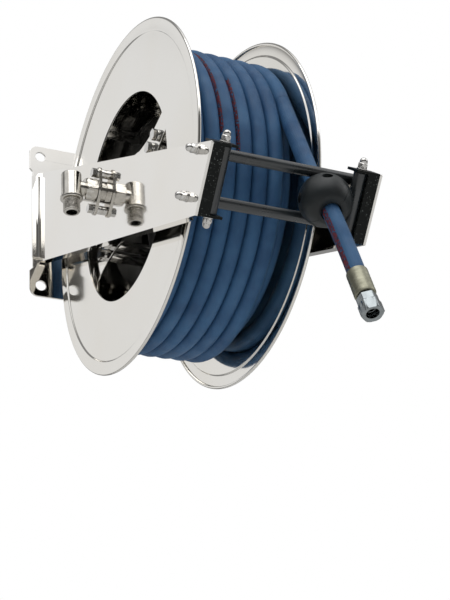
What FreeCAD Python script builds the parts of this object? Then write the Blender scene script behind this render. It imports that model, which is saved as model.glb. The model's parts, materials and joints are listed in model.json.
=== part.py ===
"""Wall-mounted hose reel with a spring rewind, in stainless steel.

Frame of the part: the origin is the centre of the four wall holes on the back face of the
wall plate, X runs along the drum axis, +Y points into the wall and +Z up.
Most pieces are drawn about the drum axis and moved to their place at the end.
"""
import FreeCAD
import Part
import math
import os

Vector = FreeCAD.Vector

# Wall plate and arms
wall_width = 232.0            # X
wall_height = 238.0           # Z
wall_gauge = 3.0
wall_hole_dia = 15.0
wall_hole_margin_x = 16.0     # hole centres in from the plate's sides
wall_hole_margin_z = 16.5     # and from its top and bottom
ear_corner_radius = 12.0
waist_depth = 4.5             # the plate is a little narrower between its ears
ear_height = 38.0
axis_standoff = 251.5         # wall face to drum axis
axis_drop = 88.5              # wall hole centre down to drum axis
arm_gauge = 3.0
arm_span = 208.4              # over the outer faces of the two arms
arm_root_top = 162.0          # heights over the drum axis
arm_root_bottom = 20.7
arm_lip = 12.0
arm_foot = 12.0
arm_relief = 6.0
arm_lip_end_top = 92.0         # the lips stop short of the front corners
arm_lip_end_bottom = 24.0
arm_front_corner = 1.6
front_edge_length = 80.3
front_edge_lean = 38.06       # degrees that the guide faces below level
front_edge_out = 278.05       # drum axis to the middle of the front edge
front_edge_drop = 129.7

# Drum
flange_dia = 450.0
flange_gauge = 1.5
rim_span = 157.0              # over the rims of the two flanges
rim_ring = 14.0
rim_step = 2.2
rim_bead = 2.0
core_dia = 268.0
core_gauge = 1.5
hub_gauge = 3.0
hub_inset = 8.8               # flange sheet to hub plate
strap_angle = 157.0           # degrees from +Y towards +Z
strap_hub_radius = 48.0
strap_tip_half = 15.0

# Hose
hose_dia = 20.0
hose_pitch = 20.5
inner_layers = 2
winding_turns = 6
end_straight = 20.0
fit_gap = 0.3                 # between pieces that lie against each other
screw_play = 0.2              # radial, screw in its hole

# Swivel inlet
stem_dia = 17.0
stem_bore = 10.0
running_gap = 0.05            # radial, shaft in bush
housing_body_dia = 27.0
housing_spigot_dia = 24.0
housing_tail_dia = 20.6
housing_tail_length = 9.0
housing_standoff = 7.0        # spacers between the arm and the oval plate
housing_plate_thick = 4.0
housing_plate_middle = 15.0   # radius of the oval plate round the body
housing_plate_lobe = 7.5      # and round its bolts
housing_bolt_circle = 45.0
housing_bolts = 2
housing_bolt_turn = 112.0     # degrees; square to the arm's centre line
housing_screw_dia = 6.0
housing_screw_af = 10.0
bush_wall = 2.0
seal_section = 0.7            # radius of the rubber rings
inlet_thread_dia = 20.955
inlet_thread_length = 17.0
union_af = 27.0
union_length = 14.0
elbow_dia = 25.0
elbow_reach = 42.0            # arm face to elbow centre line
elbow_top = 18.0
elbow_tail_dia = 18.0
elbow_collar_low = 18.5       # underside of the collar below the axis
elbow_bore = 14.0

# Spring motor and ratchet
shaft_dia = 20.0
shaft_thread_dia = 16.0
case_dia = 216.0
case_gauge = 1.5
case_depth = 50.0
stud_insets = (30.0, 10.0)    # stud centres in from the rim of the spring case
stud_dia = 14.0
stud_head_af = 13.0
spring_gauge = 0.9
spring_coils = 8
ratchet_dia = 120.0
ratchet_root_dia = 102.0
ratchet_gauge = 5.0
ratchet_teeth = 12
pawl_travel = 10.0            # degrees
pawl_gauge = 5.0

# Hose guide
roller_half_gap = 26.0        # level roller axes above and below the middle
roller_depth = 33.0           # behind the front edges of the arms
level_roller_dia = 13.0
upright_roller_dia = 16.0
upright_axis_x = 83.6
upright_depth = 12.0
guide_gauge = 3.0
guide_depth = 46.0
guide_front_flange = 14.0
guide_tab_reach = 29.0
guide_tab_depth = 24.0
axle_dia = 6.0
axle_in_nut = 7.5
nut_af = 10.0
nut_height = 6.0
nut_total = 12.0
washer_dia = 12.0
washer_thick = 1.6

# Ball stop and hose end
ball_dia = 60.0
ball_length = 50.0
ball_play = 0.4               # ball to each of the three rollers that stop it
ball_turn = 55.0              # degrees that the seam is turned about the hose
ball_dish = 6.0               # depth of the flared mouths
ball_mouth = 5.5              # and how far they open beyond the hose
ball_tilt = 54.5              # degrees that the hose points below level in the ball
ball_lead = -0.08             # sideways drift of the hose there, per unit of length
ball_bore_ease = 1.2
entry_back = 36.0             # ball centre back to where the hose bends at the rollers
entry_drop = 0.45             # and down, clear of the upper roller
exit_ahead = 27.0             # ball centre on to where the hose bends down
free_length = 96.0            # from that bend to the fitting
ball_seam = 0.6
screw_offset = 19.0
screw_dia = 5.0
screw_head_dia = 8.5
ferrule_dia = 23.4
ferrule_length = 34.0
tail_af = 20.0
tail_length = 9.0
tail_groove = 2.5
tail_neck_dia = 12.0
tail_nose_dia = 10.4
tail_bore = 8.8
end_nut_af = 22.0
end_nut_length = 14.0
end_nut_bore = 14.2
end_nut_wall = 3.0
end_nut_relief = 3.6


def bar(start, direction, length, radius):
    return Part.makeCylinder(radius, length, start, direction)


def pipe(start, direction, length, outer, inner):
    return bar(start, direction, length, outer).cut(bar(start, direction, length, inner))


def bar_x(x_low, x_high, radius, y=0.0, z=0.0):
    return bar(Vector(x_low, y, z), Vector(1, 0, 0), x_high - x_low, radius)


def pipe_x(x_low, x_high, outer, inner, y=0.0, z=0.0):
    return bar_x(x_low, x_high, outer, y, z).cut(bar_x(x_low, x_high, inner, y, z))


def closed_wire(points):
    return Part.makePolygon(points + [points[0]])


def plate_yz(x_low, x_high, outline):
    """A flat plate across X from (y, z) corners."""
    face = Part.Face(closed_wire([Vector(x_low, y, z) for y, z in outline]))
    return face.extrude(Vector(x_high - x_low, 0, 0))


def turned_x(profile):
    """A solid turned about X from (x, r) corners."""
    face = Part.Face(closed_wire([Vector(x, 0, r) for x, r in profile]))
    return face.revolve(Vector(0, 0, 0), Vector(1, 0, 0), 360)


def hexagon(start, direction, length, across_flats, turn=0.0):
    """A hexagonal bar with its corners eased at the far end."""
    direction = Vector(direction)
    direction.normalize()
    side = direction.cross(Vector(0.31, 0.17, 0.93))
    side.normalize()
    up = direction.cross(side)
    corner = across_flats / math.sqrt(3.0)
    points = []
    for k in range(6):
        a = math.radians(60.0 * k + turn)
        points.append(start + side * (corner * math.cos(a)) + up * (corner * math.sin(a)))
    prism = Part.Face(closed_wire(points)).extrude(direction * length)
    ease = Part.makeCone(corner + length, corner - 0.8, length + 0.8, start, direction)
    return prism.common(ease)


def polar(radius, degrees, x=0.0):
    a = math.radians(degrees)
    return Vector(x, radius * math.cos(a), radius * math.sin(a))


# Planes and points worked out from the driving sizes
arm_outer = arm_span / 2.0
arm_inner = arm_outer - arm_gauge
rim_plane = rim_span / 2.0
disc_outer = rim_plane - rim_step
disc_inner = disc_outer - flange_gauge
core_radius = core_dia / 2.0
core_inner = core_radius - core_gauge
wall_front = axis_standoff - wall_gauge
wall_hole_span_x = wall_width - 2 * wall_hole_margin_x
wall_hole_span_z = wall_height - 2 * wall_hole_margin_z
lean = math.radians(front_edge_lean)
edge_up = Vector(0, -math.sin(lean), math.cos(lean))
edge_in = Vector(0, math.cos(lean), math.sin(lean))
edge_middle = Vector(0, -front_edge_out, -front_edge_drop)


def guide_point(x, up, depth):
    """A point of the guide: up along the arms' front edge, depth behind it."""
    return Vector(x, 0, 0) + edge_middle + edge_up * up + edge_in * depth


def guide_box(x_low, x_high, up_low, up_high, depth_low, depth_high):
    base = [guide_point(x_low, u, d) for u, d in (
        (up_low, depth_low), (up_high, depth_low), (up_high, depth_high), (up_low, depth_high))]
    return Part.Face(closed_wire(base)).extrude(Vector(x_high - x_low, 0, 0))


# Frame

def wall_plate():
    """Flat plate with four ears; its middle is in the drum's own frame."""
    top = axis_drop + wall_height / 2.0
    bottom = axis_drop - wall_height / 2.0
    half = wall_width / 2.0
    waist = half - waist_depth
    right = [(half, bottom), (half, bottom + ear_height), (waist, bottom + ear_height + waist_depth),
             (waist, top - ear_height - waist_depth), (half, top - ear_height), (half, top)]
    outline = right + [(-x, z) for x, z in reversed(right)]
    face = Part.Face(closed_wire([Vector(x, wall_front, z) for x, z in outline]))
    plate = face.extrude(Vector(0, wall_gauge, 0))
    corners = [e for e in plate.Edges if abs(e.CenterOfMass.x) > half - 0.01
               and e.BoundBox.YLength > wall_gauge / 2.0
               and (e.CenterOfMass.z > top - 0.01 or e.CenterOfMass.z < bottom + 0.01)]
    plate = plate.makeFillet(ear_corner_radius, corners)
    for sx in (-0.5, 0.5):
        for sz in (-0.5, 0.5):
            hole = bar(Vector(sx * wall_hole_span_x, wall_front - 1, axis_drop + sz * wall_hole_span_z),
                       Vector(0, 1, 0), wall_gauge + 2, wall_hole_dia / 2.0)
            plate = plate.cut(hole)
    return plate


def arm_outline():
    """Corners of one arm: root top, root bottom, front bottom, front top."""
    root = wall_front - fit_gap
    low = edge_middle - edge_up * (front_edge_length / 2.0)
    high = edge_middle + edge_up * (front_edge_length / 2.0)
    return (root, arm_root_top), (root, arm_root_bottom), (low.y, low.z), (high.y, high.z)


def arm(side):
    """Tapered side arm with lips turned inwards and a foot turned out along the wall plate."""
    root_top, root_bottom, front_low, front_high = arm_outline()
    x_low = min(side * arm_inner, side * arm_outer)
    blank = plate_yz(x_low, x_low + arm_gauge, [root_top, root_bottom, front_low, front_high])
    front_corners = [e for e in blank.Edges if abs(e.Vertexes[0].X - e.Vertexes[-1].X) > arm_gauge / 2.0
                     and abs(e.Vertexes[0].Y - front_high[0]) < 0.01]
    blank = blank.makeFillet(arm_front_corner, front_corners)
    lips = []
    for start, end, short in ((root_bottom, front_low, arm_lip_end_bottom),
                              (root_top, front_high, arm_lip_end_top)):
        a = Vector(0, start[0], start[1])
        b = Vector(0, end[0], end[1])
        along = b - a
        length = along.Length - short
        along.normalize()
        inward = Vector(1, 0, 0).cross(along)
        if inward.dot(Vector(0, 0, 0) - (a + b) * 0.5) < 0:
            inward = inward * -1.0
        a = a + along * arm_relief
        length = length - arm_relief
        x_edge = side * arm_outer
        reach = -side * arm_lip
        face = Part.Face(closed_wire([Vector(x_edge, a.y, a.z), Vector(x_edge + reach, a.y, a.z),
                                      Vector(x_edge + reach, a.y, a.z) + along * (length - arm_lip * 0.6),
                                      Vector(x_edge, a.y, a.z) + along * length]))
        lips.append(face.extrude(inward * arm_gauge))
    foot_low = min(side * arm_outer, side * (arm_outer + arm_foot - arm_gauge))
    foot_z = arm_root_bottom + arm_relief
    foot = Part.makeBox(arm_foot - arm_gauge, arm_gauge, arm_root_top - arm_root_bottom - 2 * arm_relief,
                        Vector(foot_low, root_top[0] - arm_gauge, foot_z))
    shape = blank.fuse(lips + [foot]).removeSplitter()
    bend = [e for e in shape.Edges if abs(e.Vertexes[0].X - side * arm_outer) < 0.01
            and abs(e.Vertexes[-1].X - side * arm_outer) < 0.01
            and abs(e.Vertexes[0].Y - (root_top[0] - arm_gauge)) < 0.01
            and abs(e.Vertexes[-1].Y - (root_top[0] - arm_gauge)) < 0.01]
    shape = shape.makeFillet(arm_gauge * 1.2, bend)
    for up in (-roller_half_gap, roller_half_gap):
        shape = shape.cut(bar(guide_point(x_low - 1, up, roller_depth), Vector(1, 0, 0), arm_gauge + 2,
                              axle_dia / 2.0 + running_gap))
    return shape


def arm_edge_fall():
    """How fast the arm's upper edge drops behind the guide's top, per unit of depth."""
    root_top, root_bottom, front_low, front_high = arm_outline()
    back = Vector(0, root_top[0] - front_high[0], root_top[1] - front_high[1])
    return -back.dot(edge_up) / back.dot(edge_in)


def housing_bolt_centres():
    return [polar(housing_bolt_circle / 2.0, housing_bolt_turn + 360.0 * k / housing_bolts)
            for k in range(housing_bolts)]


def inlet_arm():
    hole = bar_x(-arm_outer - 1, -arm_inner + 1, housing_spigot_dia / 2.0 + running_gap)
    shape = arm(-1).cut(hole)
    for c in housing_bolt_centres():
        shape = shape.cut(bar_x(-arm_outer - 1, -arm_inner + 1,
                                housing_screw_dia / 2.0 + screw_play, c.y, c.z))
    return shape


pawl_pivot = Vector(0, 70.0, 60.0)
pawl_pin_dia = 8.0


def spring_arm():
    shape = arm(1).cut(bar_x(arm_inner - 1, arm_outer + 1, shaft_thread_dia / 2.0 + running_gap))
    pin_hole = bar_x(arm_inner - 1, arm_outer + 1, pawl_pin_dia / 2.0 + running_gap,
                     pawl_pivot.y, pawl_pivot.z)
    return shape.cut(pin_hole)


# Swivel inlet

housing_face = -arm_outer - housing_standoff - housing_plate_thick
housing_tail = housing_face - housing_tail_length
housing_seat = housing_face + 2.0
housing_nose = -arm_inner + 9.0
bush_radius = stem_dia / 2.0 + bush_wall


def oval_plate(x_low, x_high, middle, lobe, reach, degrees):
    """Oval plate: a round middle and two round lobes, joined by lines that touch both."""
    lean_in = math.asin((middle - lobe) / reach)

    def at(along, across):
        c = polar(along, degrees) + polar(across, degrees + 90.0)
        return Vector(x_low, c.y, c.z)

    edges = []
    for way in (1, -1):
        m = (middle * math.sin(lean_in), middle * math.cos(lean_in))
        e = (reach + lobe * math.sin(lean_in), lobe * math.cos(lean_in))
        edges.append(Part.Arc(at(way * m[0], m[1] * way), at(0, middle * way),
                              at(-way * m[0], m[1] * way)).toShape())
        edges.append(Part.LineSegment(at(-way * m[0], m[1] * way), at(-way * e[0], e[1] * way)).toShape())
        edges.append(Part.Arc(at(-way * e[0], e[1] * way), at(-way * (reach + lobe), 0),
                              at(-way * e[0], -e[1] * way)).toShape())
        edges.append(Part.LineSegment(at(-way * e[0], -e[1] * way), at(-way * m[0], -m[1] * way)).toShape())
    face = Part.Face(Part.Wire(Part.__sortEdges__(edges)))
    return face.extrude(Vector(x_high - x_low, 0, 0))


def swivel_housing():
    """Turned body through the arm, its oval plate held off the arm by spacers, and a threaded tail."""
    tail = housing_tail_dia / 2.0
    body = housing_body_dia / 2.0
    water = elbow_tail_dia / 2.0 - 1.0
    profile = [(housing_tail, water), (housing_tail, tail), (housing_face, tail), (housing_face, body),
               (-arm_outer, body), (-arm_outer, housing_spigot_dia / 2.0),
                (housing_nose, housing_spigot_dia / 2.0),
               (housing_nose, bush_radius + running_gap), (housing_seat, bush_radius + running_gap),
               (housing_seat, water)]
    plate = oval_plate(housing_face, housing_face + housing_plate_thick, housing_plate_middle,
                       housing_plate_lobe, housing_bolt_circle / 2.0, housing_bolt_turn)
    plate = plate.cut(bar_x(housing_face - 1, -arm_outer, body - 0.5))
    shape = turned_x(profile).fuse(plate).removeSplitter()
    for c in housing_bolt_centres():
        shape = shape.cut(bar_x(housing_face - 1, -arm_outer,
                                housing_screw_dia / 2.0 + screw_play, c.y, c.z))
    return shape


def housing_screws():
    """Hexagon screws with washers outside the plate, spacers behind it and nuts behind the arm."""
    solids = []
    washer_out = housing_face - 1.2
    for c in housing_bolt_centres():
        shank = bar_x(washer_out, -arm_inner + housing_screw_dia, housing_screw_dia / 2.0, c.y, c.z)
        spacer = bar_x(-arm_outer - housing_standoff, -arm_outer, housing_screw_af / 2.0 + 0.5, c.y, c.z)
        washer = bar_x(washer_out, housing_face, housing_screw_dia, c.y, c.z)
        head = hexagon(Vector(washer_out, c.y, c.z), Vector(-1, 0, 0), housing_screw_dia, housing_screw_af)
        nut = hexagon(Vector(-arm_inner, c.y, c.z), Vector(1, 0, 0),
                      housing_screw_dia - 1.0, housing_screw_af)
        solids.append(shank.fuse([spacer, washer, head, nut]).removeSplitter())
    return Part.makeCompound(solids)


def swivel_bush():
    bush = pipe_x(housing_seat + fit_gap, housing_nose, bush_radius, stem_dia / 2.0 + running_gap)
    return bush.cut(seal_groove(0)).cut(seal_groove(1))


def seal_centre(k):
    return housing_seat + 5.0 * (k + 1)


def seal_groove(k):
    depth = running_gap + 2 * seal_section + 0.05
    return pipe_x(seal_centre(k) - 1.1, seal_centre(k) + 1.1, stem_dia / 2.0 + depth, stem_dia / 2.0 - 1)


def swivel_seals():
    """Two rubber rings in the bush, around the stem."""
    middle = stem_dia / 2.0 + running_gap + seal_section
    return Part.makeCompound([Part.makeTorus(middle, seal_section, Vector(seal_centre(k), 0, 0),
                                             Vector(1, 0, 0))
                              for k in range(2)])


elbow_x = -arm_outer - elbow_reach


def union_nut():
    """Hexagon nut that joins the elbow's tail to the housing's thread."""
    start = housing_face - 2 * fit_gap
    body = hexagon(Vector(start, 0, 0), Vector(-1, 0, 0), union_length, union_af)
    body = body.cut(bar_x(housing_tail - fit_gap, start + 1, housing_tail_dia / 2.0 + running_gap))
    return body.cut(bar_x(start - union_length - 1, housing_tail, elbow_tail_dia / 2.0 + running_gap))


def inlet_elbow():
    """Forged elbow: closed top, level tail to the union nut, collar and male thread below."""
    collar_top = elbow_collar_low - 4.5
    thread_low = -elbow_collar_low - inlet_thread_length
    up = Vector(0, 0, 1)
    top = bar(Vector(elbow_x, 0, -collar_top), up, elbow_top + collar_top, elbow_dia / 2.0)
    rounded = [e for e in top.Edges if abs(e.BoundBox.ZMin - elbow_top) < 0.01]
    top = top.makeFillet(2.5, rounded)
    collar = bar(Vector(elbow_x, 0, -elbow_collar_low), up,
                 elbow_collar_low - collar_top, elbow_dia / 2.0 + 1.5)
    thread = bar(Vector(elbow_x, 0, thread_low), up, inlet_thread_length + 1.0, inlet_thread_dia / 2.0)
    tail = bar_x(elbow_x, housing_tail - fit_gap, elbow_tail_dia / 2.0)
    shape = top.fuse([collar, thread, tail])
    shape = shape.cut(bar(Vector(elbow_x, 0, thread_low - 1.0), up, 7.5 - thread_low, elbow_bore / 2.0))
    return shape.cut(bar_x(elbow_x, housing_tail, elbow_tail_dia / 2.0 - 3.0)).removeSplitter()


# Hub of the drum, inlet side

near_hub_face = -disc_inner + hub_inset            # inner face of the near hub strap
stem_flange_radius = 24.0
stem_end = near_hub_face + 8.0
feed_x = near_hub_face + 22.0
spacer_radii = [case_dia / 2.0 - inset for inset in stud_insets]


def strap_outline_half():
    return ((core_inner - 0.1, strap_tip_half), (92.0, strap_tip_half + 2.0), (50.0, 30.0))


def near_hub_plate():
    """Strap across the drum: narrow tips on the core, concave flanks, round middle."""
    x_low = near_hub_face - hub_gauge
    tip, waist, root = strap_outline_half()
    tip_along = math.sqrt(tip[0] ** 2 - tip[1] ** 2)
    edges = []
    points = []
    for end, flank in ((1, 1), (-1, -1)):
        outer_start = Vector(x_low, end * tip_along, -flank * tip[1])
        outer_mid = Vector(x_low, end * tip[0], 0)
        outer_end = Vector(x_low, end * tip_along, flank * tip[1])
        points.append((outer_start, outer_mid, outer_end))
    for k in range(2):
        start, mid, end = points[k]
        edges.append(Part.Arc(start, mid, end).toShape())
        after = points[1 - k][0]
        side = 1 if end.z > 0 else -1
        root_out = Vector(x_low, (1 if end.y > 0 else -1) * root[0], side * root[1])
        root_back = Vector(x_low, -root_out.y, root_out.z)
        knee = Vector(x_low, (1 if end.y > 0 else -1) * waist[0], side * waist[1])
        knee_back = Vector(x_low, -knee.y, knee.z)
        edges.append(Part.Arc(end, knee, root_out).toShape())
        edges.append(Part.Arc(root_out, Vector(x_low, 0, side * strap_hub_radius), root_back).toShape())
        edges.append(Part.Arc(root_back, knee_back, after).toShape())
    face = Part.Face(Part.Wire(Part.__sortEdges__(edges)))
    shape = face.extrude(Vector(hub_gauge, 0, 0))
    shape.rotate(Vector(0, 0, 0), Vector(1, 0, 0), strap_angle - 180.0)
    shape = shape.cut(bar_x(x_low - 1, near_hub_face + 1, stem_dia / 2.0 + running_gap))
    for centre in spacer_centres():
        shape = shape.cut(bar_x(x_low - 1, near_hub_face + 1, 4.2, centre.y, centre.z))
    return shape


def spacer_centres():
    return [polar(r, strap_angle + turn) for turn in (0, 180) for r in spacer_radii]


cover_face = disc_inner - hub_inset - hub_gauge - case_depth


def spacer_studs():
    """Four spacers that carry the spring case off the strap, with a screw head on each."""
    solids = []
    x_low = near_hub_face - hub_gauge
    for c in spacer_centres():
        spacer = bar_x(near_hub_face, cover_face, stud_dia / 2.0, c.y, c.z)
        shank = bar_x(x_low - 2, near_hub_face + 1, 4.0, c.y, c.z)
        washer = bar_x(x_low - washer_thick, x_low, stud_dia / 2.0, c.y, c.z)
        head = hexagon(Vector(x_low - washer_thick, c.y, c.z), Vector(-1, 0, 0), 5.3, stud_head_af)
        solids.append(spacer.fuse([shank, washer, head]).removeSplitter())
    return Part.makeCompound(solids)


def swivel_stem():
    """Hollow stem that turns with the drum, in the fixed housing."""
    x_start = housing_seat + 1.0
    x_low = near_hub_face - hub_gauge
    outer = bar_x(x_start, stem_end, stem_dia / 2.0)
    flange = bar_x(x_low - 6.0, x_low, stem_flange_radius)
    shape = outer.fuse(flange).cut(bar_x(x_start - 1, stem_end + 1, stem_bore / 2.0))
    return shape.removeSplitter()


feed_angle = 255.0
feed_boss_dia = 20.0
feed_boss_reach = 20.0        # drum axis to the end of the boss
feed_pipe_dia = 17.0
tail_inset = 32.0             # start of the hose tail, in from the core's wall
hose_tail_dia = 18.0
feed_outward = polar(1.0, feed_angle)
feed_origin = Vector(feed_x, 0, 0)


def feed_elbow():
    """Block on the stem's end that turns the water outwards."""
    block = hexagon(Vector(near_hub_face + fit_gap, 0, 0), Vector(1, 0, 0), 34.0, 27.0)
    block = block.cut(bar_x(near_hub_face, stem_end + fit_gap, stem_dia / 2.0 + running_gap))
    block = block.cut(bar_x(stem_end, feed_x + stem_bore / 2.0, stem_bore / 2.0))
    block = block.cut(bar(feed_origin, feed_outward, feed_boss_reach, stem_bore / 2.0))
    half = feed_boss_reach / 2.0
    boss = pipe(feed_origin + feed_outward * half, feed_outward, half, feed_boss_dia / 2.0, stem_bore / 2.0)
    return block.fuse(boss).removeSplitter()


def feed_pipe():
    start = feed_boss_reach + fit_gap
    return pipe(feed_origin + feed_outward * start, feed_outward, core_inner - tail_inset - start + fit_gap,
                feed_pipe_dia / 2.0, stem_bore / 2.0)


def hose_tail():
    """Fitting that carries the hose's inner end through the wall of the core."""
    start = core_inner - tail_inset + 2 * fit_gap
    base = feed_origin + feed_outward * start
    nut = hexagon(base, feed_outward, 18.0, 24.0)
    tail = bar(base, feed_outward, core_radius - 0.5 - start, hose_tail_dia / 2.0)
    bore = bar(base - feed_outward, feed_outward, core_radius - start + 2.0, stem_bore / 2.0)
    return nut.fuse(tail).cut(bore).removeSplitter()


def flange(side):
    """Pressed flange ring: flat sheet, raised band round the rim, rolled edge."""
    radius = flange_dia / 2.0
    step_low = radius - rim_ring - rim_step * 1.2
    step_high = radius - rim_ring + rim_step * 0.4
    bead_x = rim_plane - rim_bead
    bead_r = radius - rim_bead
    sheet_in = rim_plane - flange_gauge
    meet = bead_r - math.sqrt(rim_bead ** 2 - (sheet_in - bead_x) ** 2)

    def at(x, r):
        return Vector(side * x, 0, r)

    corners = [at(sheet_in, meet), at(sheet_in, step_high), at(disc_inner, step_low),
               at(disc_inner, core_inner), at(disc_outer, core_inner), at(disc_outer, step_low),
               at(rim_plane, step_high), at(rim_plane, bead_r)]
    edges = [Part.LineSegment(corners[k], corners[k + 1]).toShape() for k in range(len(corners) - 1)]
    edges.append(Part.Arc(at(rim_plane, bead_r), at(bead_x, radius),
                          at(bead_x - rim_bead, bead_r)).toShape())
    edges.append(Part.Arc(at(bead_x - rim_bead, bead_r),
                          at(bead_x - rim_bead * 0.7071, bead_r - rim_bead * 0.7071),
                          at(sheet_in, meet)).toShape())
    face = Part.Face(Part.Wire(Part.__sortEdges__(edges)))
    return face.revolve(Vector(0, 0, 0), Vector(1, 0, 0), 360)


def drum_core():
    """Rolled cylinder between the flanges, with the hole for the hose's inner end."""
    shape = pipe_x(-disc_inner, disc_inner, core_radius, core_inner)
    hole = bar(feed_origin + feed_outward * (core_inner - 10.0), feed_outward, 20.0,
               hose_tail_dia / 2.0 + 0.5)
    return shape.cut(hole)


# Spring side

far_hub_in = disc_inner - hub_inset - hub_gauge
far_hub_out = disc_inner - hub_inset
hub_tube_radius = 25.0
bush_outer = 14.0
ratchet_low = rim_plane + 1.5
ratchet_high = ratchet_low + ratchet_gauge


def far_hub_plate():
    """Disc welded into the core, with round holes near its rim and the screw holes of the case."""
    shape = pipe_x(far_hub_in, far_hub_out, core_inner - 0.1, bush_outer + running_gap)
    for k in range(6):
        c = polar(core_inner - 14.0, 60.0 * k + 30.0)
        shape = shape.cut(bar_x(far_hub_in - 1, far_hub_out + 1, 8.0, c.y, c.z))
    for c in case_screw_centres():
        shape = shape.cut(bar_x(far_hub_in - 1, far_hub_out + 1, case_screw_dia / 2.0 + 0.1, c.y, c.z))
    return shape


def hub_tube():
    """Tube welded to the far hub plate; it carries the bush and the ratchet wheel."""
    return pipe_x(far_hub_out, ratchet_low, hub_tube_radius, bush_outer + running_gap)


case_screw_dia = 6.0
case_screw_af = 10.0
case_screw_circle = 120.0


def case_screw_centres():
    return [polar(case_screw_circle / 2.0, 60.0 * k) for k in range(6)]


def case_screws():
    solids = []
    for c in case_screw_centres():
        shank = bar_x(far_hub_in - case_gauge, far_hub_out + 1, case_screw_dia / 2.0, c.y, c.z)
        head = hexagon(Vector(far_hub_out, c.y, c.z), Vector(1, 0, 0), case_screw_dia * 0.75, case_screw_af)
        solids.append(shank.fuse(head).removeSplitter())
    return Part.makeCompound(solids)


def shaft_bush():
    """Bronze bush pressed in the hub tube, running on the fixed shaft."""
    return pipe_x(far_hub_in, ratchet_high + 1.0, bush_outer, shaft_dia / 2.0 + running_gap)


def spring_case():
    """Cup that holds the spring, screwed to the far hub plate."""
    cup = bar_x(cover_face + case_gauge, far_hub_in, case_dia / 2.0)
    cup = cup.cut(bar_x(cover_face, far_hub_in - case_gauge, case_dia / 2.0 - case_gauge))
    cup = cup.cut(bar_x(cover_face, far_hub_in + 1, bush_outer + 1.0))
    for c in case_screw_centres():
        cup = cup.cut(bar_x(far_hub_in - 5, far_hub_in + 1, case_screw_dia / 2.0 + 0.1, c.y, c.z))
    anchor = bar_x(cover_face + case_gauge + 1.0, far_hub_in - case_gauge, 3.0,
                   spring_anchor.y, spring_anchor.z)
    return cup.fuse(anchor).removeSplitter()


def spring_cover():
    return pipe_x(cover_face, cover_face + case_gauge, case_dia / 2.0, arbor_radius + 4.0)


arbor_radius = 17.0
spring_low = cover_face + case_gauge + 3.0
spring_high = far_hub_in - case_gauge - 3.0
spring_outer = case_dia / 2.0 - case_gauge - 8.5
spring_anchor = Vector(0, spring_outer + 0.5, 0)


def power_spring():
    """Flat strip wound from the arbor to the case in half-turn arcs, one radius step each."""
    inner = arbor_radius + fit_gap
    step = (spring_outer - inner - 4.5) / (2.0 * spring_coils)
    outer_edges = []
    inner_edges = []
    for k in range(2 * spring_coils):
        r = inner + step * (k + 0.5)
        centre = step * 0.5 * (-1 if k % 2 == 0 else 1)
        a = 0.0 if k % 2 == 0 else 180.0
        for edges, radius in ((inner_edges, r), (outer_edges, r + spring_gauge)):
            points = []
            for turn in (0.0, 90.0, 180.0):
                t = math.radians(a + turn)
                points.append(Vector(spring_low, radius * math.cos(t) + centre, radius * math.sin(t)))
            edges.append(Part.Arc(points[0], points[1], points[2]).toShape())
    start = Part.LineSegment(inner_edges[0].Vertexes[0].Point, outer_edges[0].Vertexes[0].Point).toShape()
    end = Part.LineSegment(inner_edges[-1].Vertexes[-1].Point, outer_edges[-1].Vertexes[-1].Point).toShape()
    wire = Part.Wire(Part.__sortEdges__(inner_edges + [end] + outer_edges + [start]))
    return Part.Face(wire).extrude(Vector(spring_high - spring_low, 0, 0))


def spring_arbor():
    """Sleeve keyed to the fixed shaft; the spring's inner end hooks into its slot."""
    shape = pipe_x(spring_low, spring_high + 1.0, arbor_radius, shaft_dia / 2.0 + running_gap)
    slot = Part.makeBox(spring_high - spring_low + 2, 5.0, 2.4,
                        Vector(spring_low - 1, arbor_radius - 4.0, -2.4))
    return shape.cut(slot)


shaft_shoulder = arm_inner - 5.0
shaft_shoulder_dia = 32.0
shaft_nut_height = 10.0
shaft_washer = 2.5


def spring_shaft():
    """Fixed shaft on the spring arm: shoulder inside the arm, thread through it."""
    main = bar_x(spring_low - 4.0, shaft_shoulder, shaft_dia / 2.0)
    shoulder = bar_x(shaft_shoulder, arm_inner, shaft_shoulder_dia / 2.0)
    thread = bar_x(arm_inner, arm_outer + shaft_washer + shaft_nut_height + 3.0, shaft_thread_dia / 2.0)
    return main.fuse([shoulder, thread]).removeSplitter()


def shaft_nut():
    seat = arm_outer + shaft_washer
    washer = pipe_x(arm_outer, seat, 15.0, shaft_thread_dia / 2.0 + running_gap)
    nut = hexagon(Vector(seat, 0, 0), Vector(1, 0, 0), shaft_nut_height, 24.0)
    nut = nut.cut(bar_x(arm_outer, seat + shaft_nut_height + 1, shaft_thread_dia / 2.0 + running_gap))
    return washer.fuse(nut).removeSplitter()


def ratchet_wheel():
    """Saw-toothed disc; its steep faces stop the rewind when the pawl is down."""
    points = []
    tip = ratchet_dia / 2.0
    root = ratchet_root_dia / 2.0
    step = 360.0 / ratchet_teeth
    for k in range(ratchet_teeth):
        start = ratchet_phase + step * k
        for r, turn in ((root, 0.0), (tip, 0.6), (tip, 5.0)):
            p = polar(r, start + turn)
            points.append((p.y, p.z))
    shape = plate_yz(ratchet_low, ratchet_high, points)
    return shape.cut(bar_x(ratchet_low - 1, ratchet_high + 1, bush_outer + running_gap))


pawl_tip_rest = polar(ratchet_dia / 2.0 + 1.2, 65.0)
ratchet_phase = 65.6
pawl_spring_radius = 6.2
pawl_spring_coils = 3
pawl_spring_pitch = 2.4
pawl_spring_start = ratchet_low + pawl_gauge + 1.2


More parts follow.
